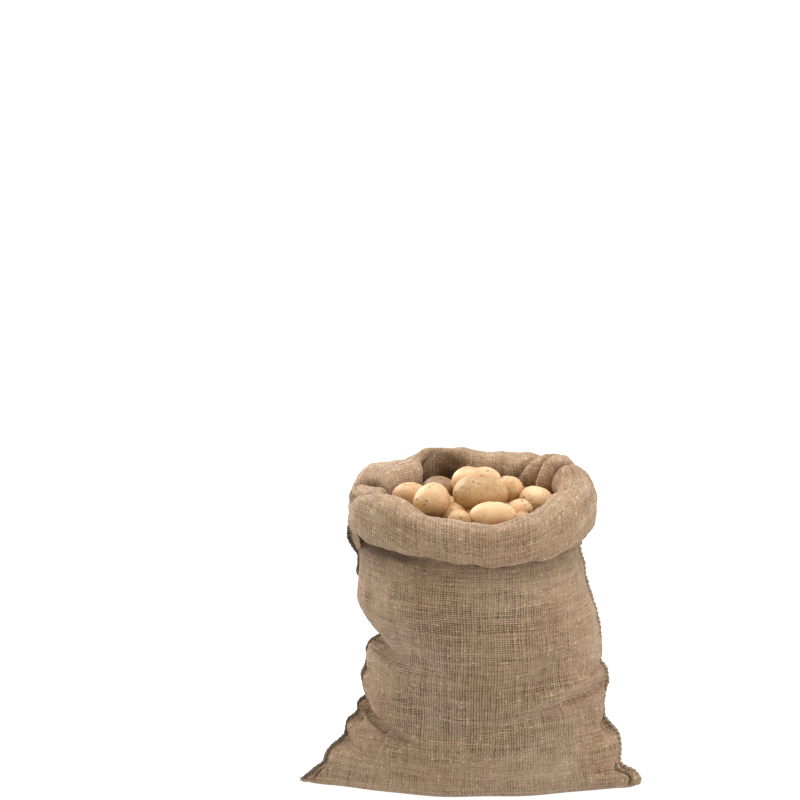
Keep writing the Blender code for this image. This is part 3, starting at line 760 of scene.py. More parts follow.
def cloth_grid(settings):
    """The cloth's outer surface with its folds, and its weave."""
    bare = bare_cloth(settings)
    points, angle, chart, station = bare[:4]
    below_roll = 1 - smooth_step(*WALL_ENDS, chart)
    on_wall = smooth_step(*WALL_STARTS, chart) * below_roll
    creased = smooth_step(*CREASES_START, chart) * below_roll
    on_roll = smooth_step(*ROLL_STARTS, station)
    off_edge = 1 - np.abs(np.cos(np.radians(angle))) ** EDGE_SHARPNESS
    beside_seam = smooth_step(*CREASES_OFF_SEAM, np.abs(turn_from(2 * angle, 0)) / 2)
    crease_out, slide = crease_shift(angle, chart)
    slide = slide * (creased * beside_seam)[..., None]
    pleat_lift, pleat_round, trough_shade = pleat_shift(angle, station)
    lumps = ripples(angle, chart, LUMPS) + BROAD_SHARE * ripples(angle, chart, BROAD_LUMPS)
    lumps = settings.lump_height * lumps
    wrinkles = settings.wrinkle_height * ripples(angle, chart * WRINKLES_UPRIGHT, WRINKLES)
    out = creased * beside_seam * crease_out + on_wall * off_edge * (lumps + wrinkles)
    out = out + on_roll * (lumps + ROLL_WRINKLES * wrinkles - pleat_lift)
    round_way, up_way = map(unit, steps_over(points))
    points = (
        points
        + normals_of(points) * out[..., None]
        + round_way * (slide[..., 0] + on_roll * pleat_round)[..., None]
        + up_way * slide[..., 1:]
    )
    points[..., 2] = np.maximum(points[..., 2], 0)
    return ClothGrid(
        points, normals_of(points), *weave_places(bare, points, settings),
        *weave_state(bare, on_roll * trough_shade), bare.wall_rows, bare.heights, bare.half,
    )


# ---------------------------------------------------------------------------
# Making objects
# ---------------------------------------------------------------------------


def place_in_scene(name, data):
    """A new object in the scene that shows the data."""
    made = bpy.data.objects.new(name, data)
    bpy.context.scene.collection.objects.link(made)
    return made


def add_piece(name, shape, finish, slot, **values):
    """A new piece that rides on the frame, with its finish.

    shape is its points and its faces, and values hold a number for each point, for the finish
    to read.
    """
    points, faces = shape
    mesh = bpy.data.meshes.new(name)
    mesh.from_pydata(np.asarray(points).reshape(-1, 3).tolist(), [], faces)
    mesh.shade_smooth()
    mesh.update()
    for value_name, numbers in values.items():
        made = mesh.attributes.new(value_name, "FLOAT", "POINT")
        made.data.foreach_set("value", np.asarray(numbers, np.float32).ravel())
    mesh.materials.append(finish)
    piece = place_in_scene(name, mesh)
    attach(piece, BODY)
    return piece


def lay_cloth(piece, places, thickness):
    """Gives a sheet its place on the flat cloth at each corner of its faces, and its thickness.

    The thickness is laid inward from the outer surface.
    """
    layer = piece.data.uv_layers.new(name=CLOTH_UV)
    layer.data.foreach_set("uv", np.asarray(places, np.float32).ravel())
    made = piece.modifiers.new("cloth_thickness", "SOLIDIFY")
    made.thickness = thickness
    made.offset = -1
    made.use_even_offset = False


def ring_faces(rows, columns):
    """The faces between closed rings of points that lie one after another."""
    row, col = np.meshgrid(np.arange(rows - 1), np.arange(columns), indexing="ij")
    after = (col + 1) % columns
    low, high = row * columns, (row + 1) * columns
    return np.stack([low + col, low + after, high + after, high + col], -1).reshape(-1, 4).tolist()


def sheet_faces(rows, columns):
    """The faces of an open grid of points."""
    row, col = np.meshgrid(np.arange(rows - 1), np.arange(columns - 1), indexing="ij")
    low, high = row * columns + col, (row + 1) * columns + col
    return np.stack([low, low + 1, high + 1, high], -1).reshape(-1, 4).tolist()


def cap_faces(ring, tip, turned):
    """The fan of faces from a ring of point numbers to its tip."""
    pairs = zip(ring, [*ring[1:], ring[0]])
    return [[tip, a, b] if turned else [tip, b, a] for a, b in pairs]


def closed_faces(rings, columns):
    """The faces of a closed form: rings of points one after another, then its two tips."""
    count = rings * columns
    faces = ring_faces(rings, columns)
    faces += cap_faces(list(range(columns)), count, False)
    faces += cap_faces(list(range(count - columns, count)), count + 1, True)
    return faces


def ways_across(path):
    """The way aside from a path at each point, seen from the front, and the way fore and aft."""
    run = unit(np.gradient(path, axis=0))
    aside = unit(np.cross(run, (0.0, 1.0, 0.0)))
    return aside, np.cross(aside, run)


def tube(path, radii, sides):
    """Points and faces of a closed tube along a path. radii are (aside, fore) at each point."""
    radii = np.broadcast_to(np.asarray(radii, float), (len(path), 2))
    aside, fore = ways_across(path)
    turn = np.arange(sides) * 2 * pi / sides
    rings = (
        path[:, None]
        + aside[:, None] * (radii[:, :1] * np.cos(turn))[..., None]
        + fore[:, None] * (radii[:, 1:] * np.sin(turn))[..., None]
    )
    points = np.concatenate([rings.reshape(-1, 3), path[:1], path[-1:]])
    return points, closed_faces(len(path), sides)


def join_shapes(shapes):
    """One list of points and one of faces, from several."""
    points, faces, first = [], [], 0
    for shape_points, shape_faces in shapes:
        points.append(shape_points)
        faces += [[first + i for i in face] for face in shape_faces]
        first += len(shape_points)
    return np.concatenate(points), faces


def evenly(path, step):
    """The same path with its points a step apart."""
    lengths = np.concatenate([[0], np.cumsum(np.linalg.norm(np.diff(path, axis=0), axis=1))])
    at = np.linspace(0, lengths[-1], max(int(lengths[-1] / step), 2) + 1)
    return np.stack([np.interp(at, lengths, path[:, k]) for k in range(3)], axis=1), at


def eased(path, passes):
    """The path with its corners eased, and its ends kept."""
    path = path.copy()
    for _ in range(passes):
        path[1:-1] = (path[:-2] + 2 * path[1:-1] + path[2:]) / 4
    return path


# ---------------------------------------------------------------------------
# Materials
# ---------------------------------------------------------------------------


def feed(socket, value):
    """Joins a wire to the socket, or sets the socket's own value."""
    if isinstance(value, Wire):
        socket.id_data.links.new(value.socket, socket)
    elif socket.type == "RGBA":
        socket.default_value = (*value, 1.0)
    else:
        socket.default_value = value


def add_node(tree, kind, output=0, inputs=None, **choices):
    """The output of a new node, with its choices made and its inputs fed."""
    node = tree.nodes.new(f"ShaderNode{kind}")
    for name, choice in choices.items():
        setattr(node, name, choice)
    for name, value in (inputs or {}).items():
        feed(node.inputs[name], value)
    return Wire(node.outputs[output])


class Wire:
    """A value in a material's nodes. Sums of wires add the nodes that work them out."""

    def __init__(self, socket):
        self.socket = socket

    def math(self, operation, *others):
        inputs = dict(enumerate((self, *others)))
        return add_node(self.socket.id_data, "Math", 0, inputs, operation=operation)

    def __add__(self, other):
        return self.math("ADD", other)

    def __sub__(self, other):
        return self.math("SUBTRACT", other)

    def __mul__(self, other):
        return self.math("MULTIPLY", other)

    def __truediv__(self, other):
        return self.math("DIVIDE", other)

    def step(self, low, high):
        """0 below low and 1 above high, and smooth between."""
        inputs = {"Value": self, "From Min": low, "From Max": high}
        tree = self.socket.id_data
        return add_node(tree, "MapRange", "Result", inputs, interpolation_type="SMOOTHSTEP")


class Finish:
    """A material under construction, with a Principled shader and noise in so many dimensions."""

    def __init__(self, name, roughness, sheen=0.0, specular=0.5, dimensions="3D"):
        self.material = bpy.data.materials.new(name)
        self.material.use_nodes = True
        self.tree = self.material.node_tree
        self.dimensions = dimensions
        self.shade("Roughness", roughness)
        self.shade("Specular IOR Level", specular)
        self.shade("Sheen Weight", sheen)
        self.shade("Sheen Roughness", 0.6)

    def shade(self, name, value):
        """Feeds one of the shader's sockets."""
        feed(self.tree.nodes["Principled BSDF"].inputs[name], value)

    def cloth_place(self):
        """The places across and up the flat cloth."""
        at = add_node(self.tree, "UVMap", "UV", uv_map=CLOTH_UV)
        split = add_node(self.tree, "SeparateXYZ", 0, {0: at}).socket.node
        return Wire(split.outputs[0]), Wire(split.outputs[1])

    def object_place(self):
        return add_node(self.tree, "TexCoord", "Object")

    def values(self, name):
        """The numbers that the mesh holds for each point."""
        return add_node(self.tree, "Attribute", "Fac", attribute_name=name)

    def place(self, x, y):
        return add_node(self.tree, "CombineXYZ", 0, {0: x, 1: y})

    def noise(self, at, scale, detail, roughness):
        """Cloudy noise from 0 to 1 with its middle at 0.5."""
        inputs = {"Vector": at, "Scale": scale, "Detail": detail, "Roughness": roughness}
        return add_node(self.tree, "TexNoise", "Fac", inputs, noise_dimensions=self.dimensions)

    def chance(self, number, seed):
        """A random number from 0 to 1 for each whole number."""
        inputs = {"W": number + seed}
        return add_node(self.tree, "TexWhiteNoise", "Value", inputs, noise_dimensions="1D")

    def spots(self, at, scale):
        """The distance to the nearest of many scattered points, in their own spacing."""
        return add_node(self.tree, "TexVoronoi", "Distance", {"Vector": at, "Scale": scale})

    def blend(self, share, first, second):
        """The first colour where share is 0 and the second where it is 1."""
        inputs = {0: share, 6: first, 7: second}
        return add_node(self.tree, "Mix", 2, inputs, data_type="RGBA")

    def tint(self, colour, factor):
        """The colour, lighter or darker by a factor."""
        inputs = {0: colour, "Scale": factor}
        return add_node(self.tree, "VectorMath", 0, inputs, operation="SCALE")

    def wear(self, colour, relief, distance, strength):
        """Joins the colour and the relief to the shader, and gives the finished material."""
        inputs = {"Strength": strength, "Distance": distance, "Height": relief}
        self.shade("Base Color", colour)
        self.shade("Normal", add_node(self.tree, "Bump", "Normal", inputs))
        return self.material


def hessian_finish(settings):
    """Plain-woven jute: uneven threads over and under one another, with gaps between them.

    Shade is painted into the gaps and on the low parts of the threads.
    """
    f = Finish("hessian_weave", roughness=0.95, sheen=0.12, specular=0.10, dimensions="2D")
    u, v = f.cloth_place()
    flat = f.place(u, v)
    loose = (f.noise(flat, 11.0, 2.0, 0.5) - 0.5) * 0.9 + f.values("open_weave") * 0.62
    wander_u = f.noise(flat, 8.0, 1.0, 0.5) - 0.5
    wander_v = f.noise(f.place(v, u), 8.0, 1.0, 0.5) - 0.5
    quiver = f.noise(flat, 90.0, 1.0, 0.5) - 0.5
    s = u / settings.warp_pitch + wander_u * 1.6 + quiver * 0.45
    t = v / settings.weft_pitch + wander_v * 1.6 - quiver * 0.40
    i, j = s.math("FLOOR"), t.math("FLOOR")

    def thread(along, number, other, seed, varied, lift):
        """The height and tone of one set of threads, at its own number and place along.

        lift is how far every other thread of the set rises over the ones it crosses.
        """
        drift = f.noise(f.place(along * 0.05, number * 4.1), 1.0, 1.0, 0.5) - 0.5
        random = (f.chance(number, seed) - 0.5) * 0.35 + drift * 1.8 + 0.5
        slub = f.noise(f.place(along * 0.45, number * 3.7), 1.0, 2.0, 0.6)
        streak = f.noise(f.place(along * 0.20, number * 5.3), 1.0, 2.0, 0.6)
        half = random * 0.18 + slub * 0.30 + 0.16 - loose * 0.15
        middle = (drift * 2.2 + 0.5) * 0.24 + 0.38
        across = (other - number - middle) / half
        profile = (across * across * -1.0 + 1.0).math("MAXIMUM", 0.0).math("SQRT")
        tone = (random - 0.5) * varied + streak * 0.22 + slub * 0.16
        tone = tone + streak.step(0.62, 0.74) * 0.12 + 0.77
        over = ((along + number) * pi).math("SINE") * lift
        return (profile + over + 0.6) * profile.math("GREATER_THAN", 0.02), tone

    warp_height, warp_tone = thread(t, i, s, 11.0, 0.08, 0.55)
    weft_height, weft_tone = thread(s, j, t, 57.0, 0.16, -0.55)
    height = warp_height.math("MAXIMUM", weft_height) / 2.15
    warp_on_top = warp_height.math("GREATER_THAN", weft_height)
    twist_warp = f.noise(f.place((u + v * 0.25) * 9.0, v), 330.0, 3.0, 0.7)
    twist_weft = f.noise(f.place(u, (v + u * 0.25) * 9.0), 330.0, 3.0, 0.7)
    fibre = twist_weft + (twist_warp - twist_weft) * warp_on_top
    tone = weft_tone + (warp_tone - weft_tone) * warp_on_top
    cloud = f.noise(flat, 5.0, 3.0, 0.55)
    mottle = f.noise(flat, 75.0, 3.0, 0.6)
    tone = tone * (fibre * 0.5 + 0.78) * (cloud * 0.16 + mottle * 0.10 + 0.87)
    jute = f.blend(tone.step(0.75, 1.35), settings.jute_brown, settings.jute_straw)
    jute = f.blend(cloud.step(0.40, 0.70) * 0.25, jute, settings.jute_grey)
    # Painted shade inside the mouth, in the pleats' troughs and in the hollow at the back.
    jute = f.blend(f.values("soiled") * 0.62, jute, settings.painted_shade_brown)
    # Painted shade: the low parts of the weave and the gaps between the threads fade to a dark
    # brown.
    unshaded = height.step(0.02, 0.80) * 0.97 + 0.03
    colour = f.blend(unshaded, settings.gap_shade, f.tint(jute, tone))
    return f.wear(colour, height + fibre * 0.12, distance=0.0012, strength=0.7)


def twine_finish(name, dark, light):
    """Twisted sewing twine, with strands and fluff."""
    f = Finish(name, roughness=0.9, sheen=0.2, specular=0.2)
    place = f.object_place()
    strand = f.noise(place, 900.0, 3.0, 0.6)
    patch = f.noise(place, 60.0, 2.0, 0.6)
    blotch = f.noise(place, 11.0, 2.0, 0.5)
    share = (strand * 0.5 + patch * 0.6 + blotch * 0.5 - 0.3).step(0.15, 0.85)
    return f.wear(f.blend(share, dark, light), strand, distance=0.0007, strength=0.8)


def potato_finish(name, settings, dusk):
    """Thin netted skin, with freckles, brown eyes and scuffs, darker by its tone and painted
    shade.
    """
    f = Finish(name, roughness=0.5, specular=0.75)
    f.shade("Subsurface Weight", 0.06)
    f.shade("Subsurface Scale", 0.004)
    f.shade("Subsurface Radius", (1.0, 0.5, 0.25))
    place = f.object_place()
    broad = f.noise(place, 26.0, 3.0, 0.6)
    medium = f.noise(place, 120.0, 4.0, 0.65)
    fine = f.noise(place, 900.0, 3.0, 0.6)
    flush = f.noise(place, 17.0, 2.0, 0.5)
    sparse = f.noise(place, 70.0, 1.0, 0.5)
    freckle = (f.spots(place, 170.0) * -1.0 + 1.0).step(0.78, 0.92) * sparse.step(0.36, 0.56)
    scab = f.spots(place, 62.0) + (medium - 0.5) * 0.5
    scab = (scab * -1.0 + 1.0).step(0.80, 0.90)
    skin = settings.skin_gold
    for share, colour in (
        (broad.step(0.32, 0.68), settings.skin_tan),
        (medium.step(0.42, 0.66) * 0.75, settings.skin_russet),
        # Less painted darkness gives more pale skin: partly fresher skin, partly a painted
        # highlight.
        (max(0, 0.38 - 0.6 * dusk), settings.skin_pale),
        (flush.step(0.53, 0.68) * 0.65, settings.skin_flush),
        (freckle * 0.85, settings.skin_spot),
        (scab * 0.65, settings.skin_spot),
        (f.values("eye").step(0.15, 0.8) * 0.8, settings.skin_spot),
    ):
        skin = f.blend(share, skin, colour)
    f.shade("Roughness", medium * 0.3 + 0.36)
    # Painted shade: the skin is darkened by the potato's figure, partly for its tone and partly
    # for lying in shadow.
    colour = f.tint(skin, fine * 0.30 + medium * 0.36 + (0.92 - 0.42 * dusk))
    relief = medium * 0.35 + fine * 0.12 - freckle * 0.25 - scab * 0.4
    return f.wear(colour, relief, distance=0.0012, strength=0.7)


# ---------------------------------------------------------------------------
# Settings
# ---------------------------------------------------------------------------


class SackClothSettings(bpy.types.PropertyGroup):
    """The sizes and colours of the sack's cloth."""

    segments_back: IntProperty(
        name="Back Segments", description="Points across the back of each ring of the cloth",
        default=104, min=12,
    )
    segments_front: IntProperty(
        name="Front Segments", description="Points across the front of each ring of the cloth",
        default=162, min=12,
    )
    rows_base: IntProperty(name="Base Rows", description="Rings under the sack", default=9, min=2)
    rows_foot: IntProperty(
        name="Foot Rows", description="Rings in the lowest 50 mm of the wall", default=18, min=4
    )
    rows_wall: IntProperty(
        name="Wall Rows", description="Rings from there up to the neck", default=86, min=8
    )
    rows_neck: IntProperty(
        name="Neck Rows", description="Rings between the neck and the roll", default=8, min=1
    )
    rows_roll: IntProperty(
        name="Roll Rows", description="Rings over the rolled mouth", default=60, min=8
    )
    thickness: FloatProperty(
        name="Thickness", description="Thickness of the cloth", default=0.0025, min=0.0005,
        unit="LENGTH",
    )
    bag_width: FloatProperty(
        name="Bag Width", description="Width of the flat bag, seam to seam", default=0.60,
        unit="LENGTH",
    )
    bag_length: FloatProperty(
        name="Bag Length", description="Length of the flat bag, foot to hem", default=0.90,
        unit="LENGTH",
    )
    lump_height: FloatProperty(
        name="Lump Height", description="How far the potatoes push the cloth out",
        default=0.0012, unit="LENGTH",
    )
    wrinkle_height: FloatProperty(
        name="Wrinkle Height", description="Height of the small soft wrinkles",
        default=0.0006, unit="LENGTH",
    )
    warp_pitch: FloatProperty(
        name="Warp Pitch", description="Distance from one upright thread to the next",
        default=0.0046, unit="LENGTH",
    )
    weft_pitch: FloatProperty(
        name="Weft Pitch", description="Distance from one level thread to the next",
        default=0.0038, unit="LENGTH",
    )
    jute_brown: FloatVectorProperty(
        name="Jute Brown", description="Colour of the darker threads", subtype="COLOR",
        default=(0.33, 0.20, 0.110),
    )
    jute_straw: FloatVectorProperty(
        name="Jute Straw", description="Colour of the lighter threads", subtype="COLOR",
        default=(0.53, 0.385, 0.255),
    )
    jute_grey: FloatVectorProperty(
        name="Jute Grey", description="Colour of the weathered patches", subtype="COLOR",
        default=(0.36, 0.28, 0.195),
    )
    # Painted shade: the dark brown that the cloth in the mouth, the pleats' troughs and the back
    # hollow is darkened toward.
    painted_shade_brown: FloatVectorProperty(
        name="Painted Shade Brown", description="Colour of the soiled cloth inside the mouth",
        subtype="COLOR", default=(0.10, 0.055, 0.024),
    )
    # Painted shade: the dark brown seen in the gaps between the threads and low in the weave.
    gap_shade: FloatVectorProperty(
        name="Gap Brown", description="Colour between the threads", subtype="COLOR",
        default=(0.024, 0.011, 0.005),
    )


class SackSeamSettings(bpy.types.PropertyGroup):
    """The sizes and colours of the sewn edges and the loose fibres."""

    cord_radius: FloatProperty(
        name="Cord Radius", description="Half thickness of the rolled selvedges",
        default=0.0028, unit="LENGTH",
    )
    twine_radius: FloatProperty(
        name="Twine Radius", description="Half thickness of the sewing twine",
        default=0.0008, unit="LENGTH",
    )
    stitch_pitch: FloatProperty(
        name="Stitch Pitch", description="Distance from one stitch to the next",
        default=0.0085, unit="LENGTH",
    )
    loop_reach: FloatProperty(
        name="Loop Reach", description="How far the left seam springs out under the cuff",
        default=0.016, unit="LENGTH",
    )
    wobble: FloatProperty(
        name="Wobble", description="How far the seams wander from the cloth's edge",
        default=0.0009, unit="LENGTH",
    )
    # The left seam's dark tone is partly its twine's dark brown and partly painted shadow from the
    # gap along the cloth's edge.
    left_dark: FloatVectorProperty(
        name="Left Dark", description="Dark tone of the left seam", subtype="COLOR",
        default=(0.055, 0.035, 0.020),
    )
    left_light: FloatVectorProperty(
        name="Left Light", description="Light tone of the left seam", subtype="COLOR",
        default=(0.24, 0.17, 0.11),
    )
    right_dark: FloatVectorProperty(
        name="Right Dark", description="Dark tone of the right seam", subtype="COLOR",
        default=(0.34, 0.25, 0.17),
    )
    right_light: FloatVectorProperty(
        name="Right Light", description="Light tone of the right seam", subtype="COLOR",
        default=(0.60, 0.48, 0.35),
    )
    right_stitch: FloatVectorProperty(
        name="Right Stitches", description="Dark tone of the right seam's twine",
        subtype="COLOR", default=(0.12, 0.08, 0.05),
    )
    fibre_count: IntProperty(
        name="Fibres", description="How many loose fibres stand off the cloth", default=1500, min=0
    )
    fibre_radius: FloatProperty(
        name="Fibre Radius", description="Half thickness of a loose fibre",
        default=0.00016, unit="LENGTH",
    )


class SackPotatoSettings(bpy.types.PropertyGroup):
    """The sizes and colours of the potatoes."""

    segments: IntProperty(
        name="Segments", description="Points round a potato that shows", default=112, min=16
    )
    rings: IntProperty(
        name="Rings", description="Rings along a potato that shows", default=64, min=8
    )
    under_count: IntProperty(
        name="Under Count", description="How many potatoes lie under those that show",
        default=34, min=0,
    )
    skin_gold: FloatVectorProperty(
        name="Skin Gold", description="Lighter skin", subtype="COLOR",
        default=(0.68, 0.42, 0.18),
    )
    skin_tan: FloatVectorProperty(
        name="Skin Tan", description="Darker skin", subtype="COLOR", default=(0.58, 0.33, 0.13)
    )
    skin_pale: FloatVectorProperty(
        name="Skin Pale", description="Colour of the freshest skin", subtype="COLOR",
        default=(0.80, 0.60, 0.38),
    )
    skin_flush: FloatVectorProperty(
        name="Skin Flush", description="Colour of the reddish ends", subtype="COLOR",
        default=(0.60, 0.26, 0.12),
    )
    skin_russet: FloatVectorProperty(
        name="Skin Russet", description="Rough brown skin", subtype="COLOR",
        default=(0.44, 0.23, 0.085),
    )
    skin_spot: FloatVectorProperty(
        name="Skin Spot", description="Eyes and spots", subtype="COLOR",
        default=(0.16, 0.085, 0.035),
    )


class SackStageSettings(bpy.types.PropertyGroup):
    """The view, the floor and the lights."""

    view_height: FloatProperty(
        name="View Height", description="Angle of the view down on to the sack",
        default=radians(18), subtype="ANGLE", unit="ROTATION",
    )
    view_distance: FloatProperty(
        name="View Distance", description="Distance from the camera to the sack",
        default=5.5, unit="LENGTH",
    )
    picture_width: FloatProperty(
        name="Picture Width", description="Width of what the camera sees at the sack",
        default=1.36, unit="LENGTH",
    )
    sky_strength: FloatProperty(
        name="Sky Strength", description="Strength of the white studio's light", default=1.17
    )
    lamp_power: FloatProperty(
        name="Lamp Power", description="Power of a lamp whose share is 1", default=23.4,
        unit="POWER",
    )
    lamp_size: FloatProperty(
        name="Lamp Size", description="Side of each square lamp", default=1.2, unit="LENGTH"
    )
    floor_colour: FloatVectorProperty(
        name="Floor", description="Colour of the floor", subtype="COLOR",
        default=(0.55, 0.55, 0.55),
    )


# ---------------------------------------------------------------------------
# Pieces
# ---------------------------------------------------------------------------


def seam_path(grid, angle, settings):
    """Points along a side edge of the cloth, on up under the cuff, and how far along each is."""
    heights = grid.heights
    column_at = np.full(len(heights), float(grid.half if angle == 180 else 0))
    loop_out = 0.0
    if angle == 180:
        loop_out = settings.loop_reach
        turned = smooth_step(*SEAM_TURNS_BACK, heights)
        turned = turned * (1 - smooth_step(*SEAM_TURNS_OUT, heights))
        column_at -= turned * SEAM_TURN * grid.half / 180
    low = np.floor(column_at).astype(int)
    share = (column_at - low)[:, None]
    rows = np.arange(grid.wall_rows.start, grid.wall_rows.stop)
    edge = grid.points[rows, low] * (1 - share) + grid.points[rows, low + 1] * share
    edge = edge + unit(grid.normals[rows, low]) * SEAM_OUTSIDE
    edge = edge[edge[:, 2] > SEAM_BOTTOM]
    rise = np.linspace(0, SEAM_TAILS[angle], SEAM_TAIL_POINTS)[1:, None] * (0, 0, 1)
    path = np.concatenate([edge, edge[-1] + rise])
    sprung = (path[:, 2] - SEAM_LOOP_FROM) / (path[-1, 2] - SEAM_LOOP_FROM)
    sprung = np.sin(np.clip(sprung, 0, 1) * pi * SEAM_LOOP_TURN)
    path[:, 0] += np.sign(path[:, 0]) * loop_out * sprung
    path, at = evenly(eased(path, 2), SEAM_STEP)
    random = np.random.default_rng(SEAM_SEEDS[angle])
    knots = np.arange(0, at[-1] + SEAM_WOBBLE_STEP, SEAM_WOBBLE_STEP)
    for axis in (0, 1):
        path[:, axis] += np.interp(at, knots, random.normal(0, settings.wobble, len(knots)))
    return eased(path, 3), at


def sewn_edge(path, at, settings, seed):
    """The rolled selvedges along a seam, and the twine whipped round them."""
    random = np.random.default_rng(seed)
    radius = settings.cord_radius
    knots = np.linspace(0, at[-1], STITCH_KNOTS)
    uneven = np.interp(at, knots, random.normal(0, 1, STITCH_KNOTS))
    phase = at / settings.stitch_pitch * 2 * pi + STITCH_WANDER * uneven
    swell = 1 + STITCH_SQUEEZE * np.cos(phase) + CORD_UNEVENNESS * uneven
    cord = tube(path, np.stack([radius * swell, CORD_DEPTH * radius * swell], axis=1), CORD_SIDES)
    path, fine_at = evenly(path, TWINE_STEP)
    phase = np.interp(fine_at, at, phase)[:, None]
    aside, fore = ways_across(path)
    inward = np.sign(-path[:, :1]) * np.sign(aside[:, :1])
    aside = aside * inward * (TWINE_MIDDLE + TWINE_REACH[0] * np.cos(phase))
    wrap = path + (aside + fore * (TWINE_REACH[1] * np.sin(phase))) * radius * TWINE_GRIP
    return cord, tube(wrap, settings.twine_radius, TWINE_SIDES)


def seam_flap(path, bag_width):
    """Points of the flap inside the left seam's loop, and their places on the flat bag."""
    heights = np.linspace(FLAP[0].height, min(FLAP[-1].height, path[-1, 2]), FLAP_ROWS)[:, None]
    seam = np.stack([np.interp(heights, path[:, 2], path[:, k]) for k in (0, 1)], -1)
    root = -column(FLAP, "root", heights)
    half_width = column(FLAP, "half_width", heights)
    share = np.linspace(1, -1, FLAP_COLUMNS)[None]
    out = (1 - np.abs(share)) ** FLAP_ROUNDNESS
    x = root + (seam[..., 0] + FLAP_TUCK - root) * out
    y = seam[..., 1] * out + half_width * share
    points = np.stack([x, y, heights + 0 * x], -1)
    return points, np.stack([bag_width - y, heights + 0 * x], -1)


def fray_paths(tip, seed):
    """Short stiff fibres that spread from a corner of the bag."""
    random = np.random.default_rng(seed)
    t = np.linspace(0, 1, FIBRE_POINTS)[:, None]
    for _ in range(FRAY_COUNT):
        way = unit(FRAY_WAY + random.normal(0, FRAY_SPREAD))
        start = tip - way * FRAY_SET_BACK + random.normal(0, FRAY_SCATTER)
        bend = random.normal(0, FRAY_BEND, 3) * t * t
        path = start + way * t * random.uniform(*FRAY_LENGTHS) + bend
        path[:, 2] = np.maximum(path[:, 2], FRAY_LOWEST)
        yield path


def fibre_paths(grid, count, seed):
    """Short curved paths of loose fibres that stand off the cloth."""
    random = np.random.default_rng(seed)
    rows, columns = grid.points.shape[:2]
    t = np.linspace(0, 1, FIBRE_POINTS)[:, None]
    for _ in range(count):
        row = random.integers(grid.wall_rows.start + 4, rows - 12)
        col = random.integers(0, columns)
        out = grid.normals[row, col]
        side = unit(np.cross(out, random.normal(0, 1, 3)))
        length = random.uniform(*FIBRE_LENGTHS)
        lift = length * random.uniform(*FIBRE_LIFTS)
        bow = np.sin(t * pi * random.uniform(*FIBRE_BOWS))
        path = grid.points[row, col] + side * t * length + out * (bow * lift + FIBRE_OFF_CLOTH)
        wander = random.normal(0, FIBRE_WANDER, (FIBRE_POINTS, 3))
        path = path + np.cumsum(wander, axis=0) * t
        path[:, 2] = np.maximum(path[:, 2], FIBRE_LOWEST)
        yield path


def strands(paths, radius):
    """Thin tubes along many paths, tapering to their ends."""
    radii = np.linspace(1, FIBRE_TIP, FIBRE_POINTS)[:, None] * (radius, radius)
    return join_shapes([tube(path + FIBRE_SHIFT, radii, FIBRE_SIDES) for path in paths])


def potato_form(size, turned, middle, eyes, seed, rings, segments, waist=0.0):
    """Points, faces and eye marks of one potato: an uneven oval with eyes set in it."""
    random = np.random.default_rng(seed)
    polar = np.linspace(pi, 0, rings + 2)[1:-1]
    round_it = np.arange(segments) * 2 * pi / segments
    polar, round_it = np.meshgrid(polar, round_it, indexing="ij")
    way = (np.cos(polar), np.sin(polar) * np.cos(round_it), np.sin(polar) * np.sin(round_it))
    way = np.concatenate([np.stack(way, -1).reshape(-1, 3), [[-1, 0, 0], [1, 0, 0]]])
    half = size / 2
    form = np.ones(len(way))
    for _ in range(FORM_WAVES):
        axis = unit(random.normal(0, 1, 3))
        wave = random.normal(0, FORM_WAVE)
        form += wave * np.cos(way @ axis * random.uniform(*FORM_PITCHES) + FORM_START)
    end = way[:, :1]
    taper = 1 - random.normal(0, FORM_TAPER) * end - waist * bell(end / WAIST_WIDTH)
    oval = way * half * np.concatenate([np.ones_like(taper), taper, taper], -1)
    points = oval * form[:, None]
    mark = np.zeros(len(way))
    for number in range(eyes):
        along = 1 - 2 * (number + 0.5) / eyes
        swing = number * EYE_TURN + random.normal(0, EYE_WANDER)
        flat = np.sqrt(1 - along * along)
        centre = np.array([along, flat * np.cos(swing), flat * np.sin(swing)]) * half
        radius = random.uniform(*EYE_RADII)
        offset = points - centre * np.mean(form)
        distance = np.linalg.norm(offset * EYE_STRETCH, axis=1)
        pit = bell(distance / radius)
        brow = bell((distance - BROW_PLACE * radius) / (BROW_WIDTH * radius))
        brow = brow * np.clip(-offset[:, 0] * np.sign(along) / radius, 0, 1)
        points = points + unit(oval) * (BROW_HEIGHT * brow - EYE_DEPTH * pit)[:, None]
        mark = np.maximum(mark, pit * random.uniform(*EYE_MARKS))
    return middle + points @ np.array(turned).T, closed_faces(rings, segments), mark


def middle_of(potato):
    """The middle of the box of a potato's node."""
    low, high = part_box(potato.node)
    return np.array((low + high) / 2)


def upright(aim):
    """The rotation of a camera or light that looks along aim with its top up."""
    return aim.to_track_quat("-Z", "Y").to_euler()


# ---------------------------------------------------------------------------
# Operators
# ---------------------------------------------------------------------------


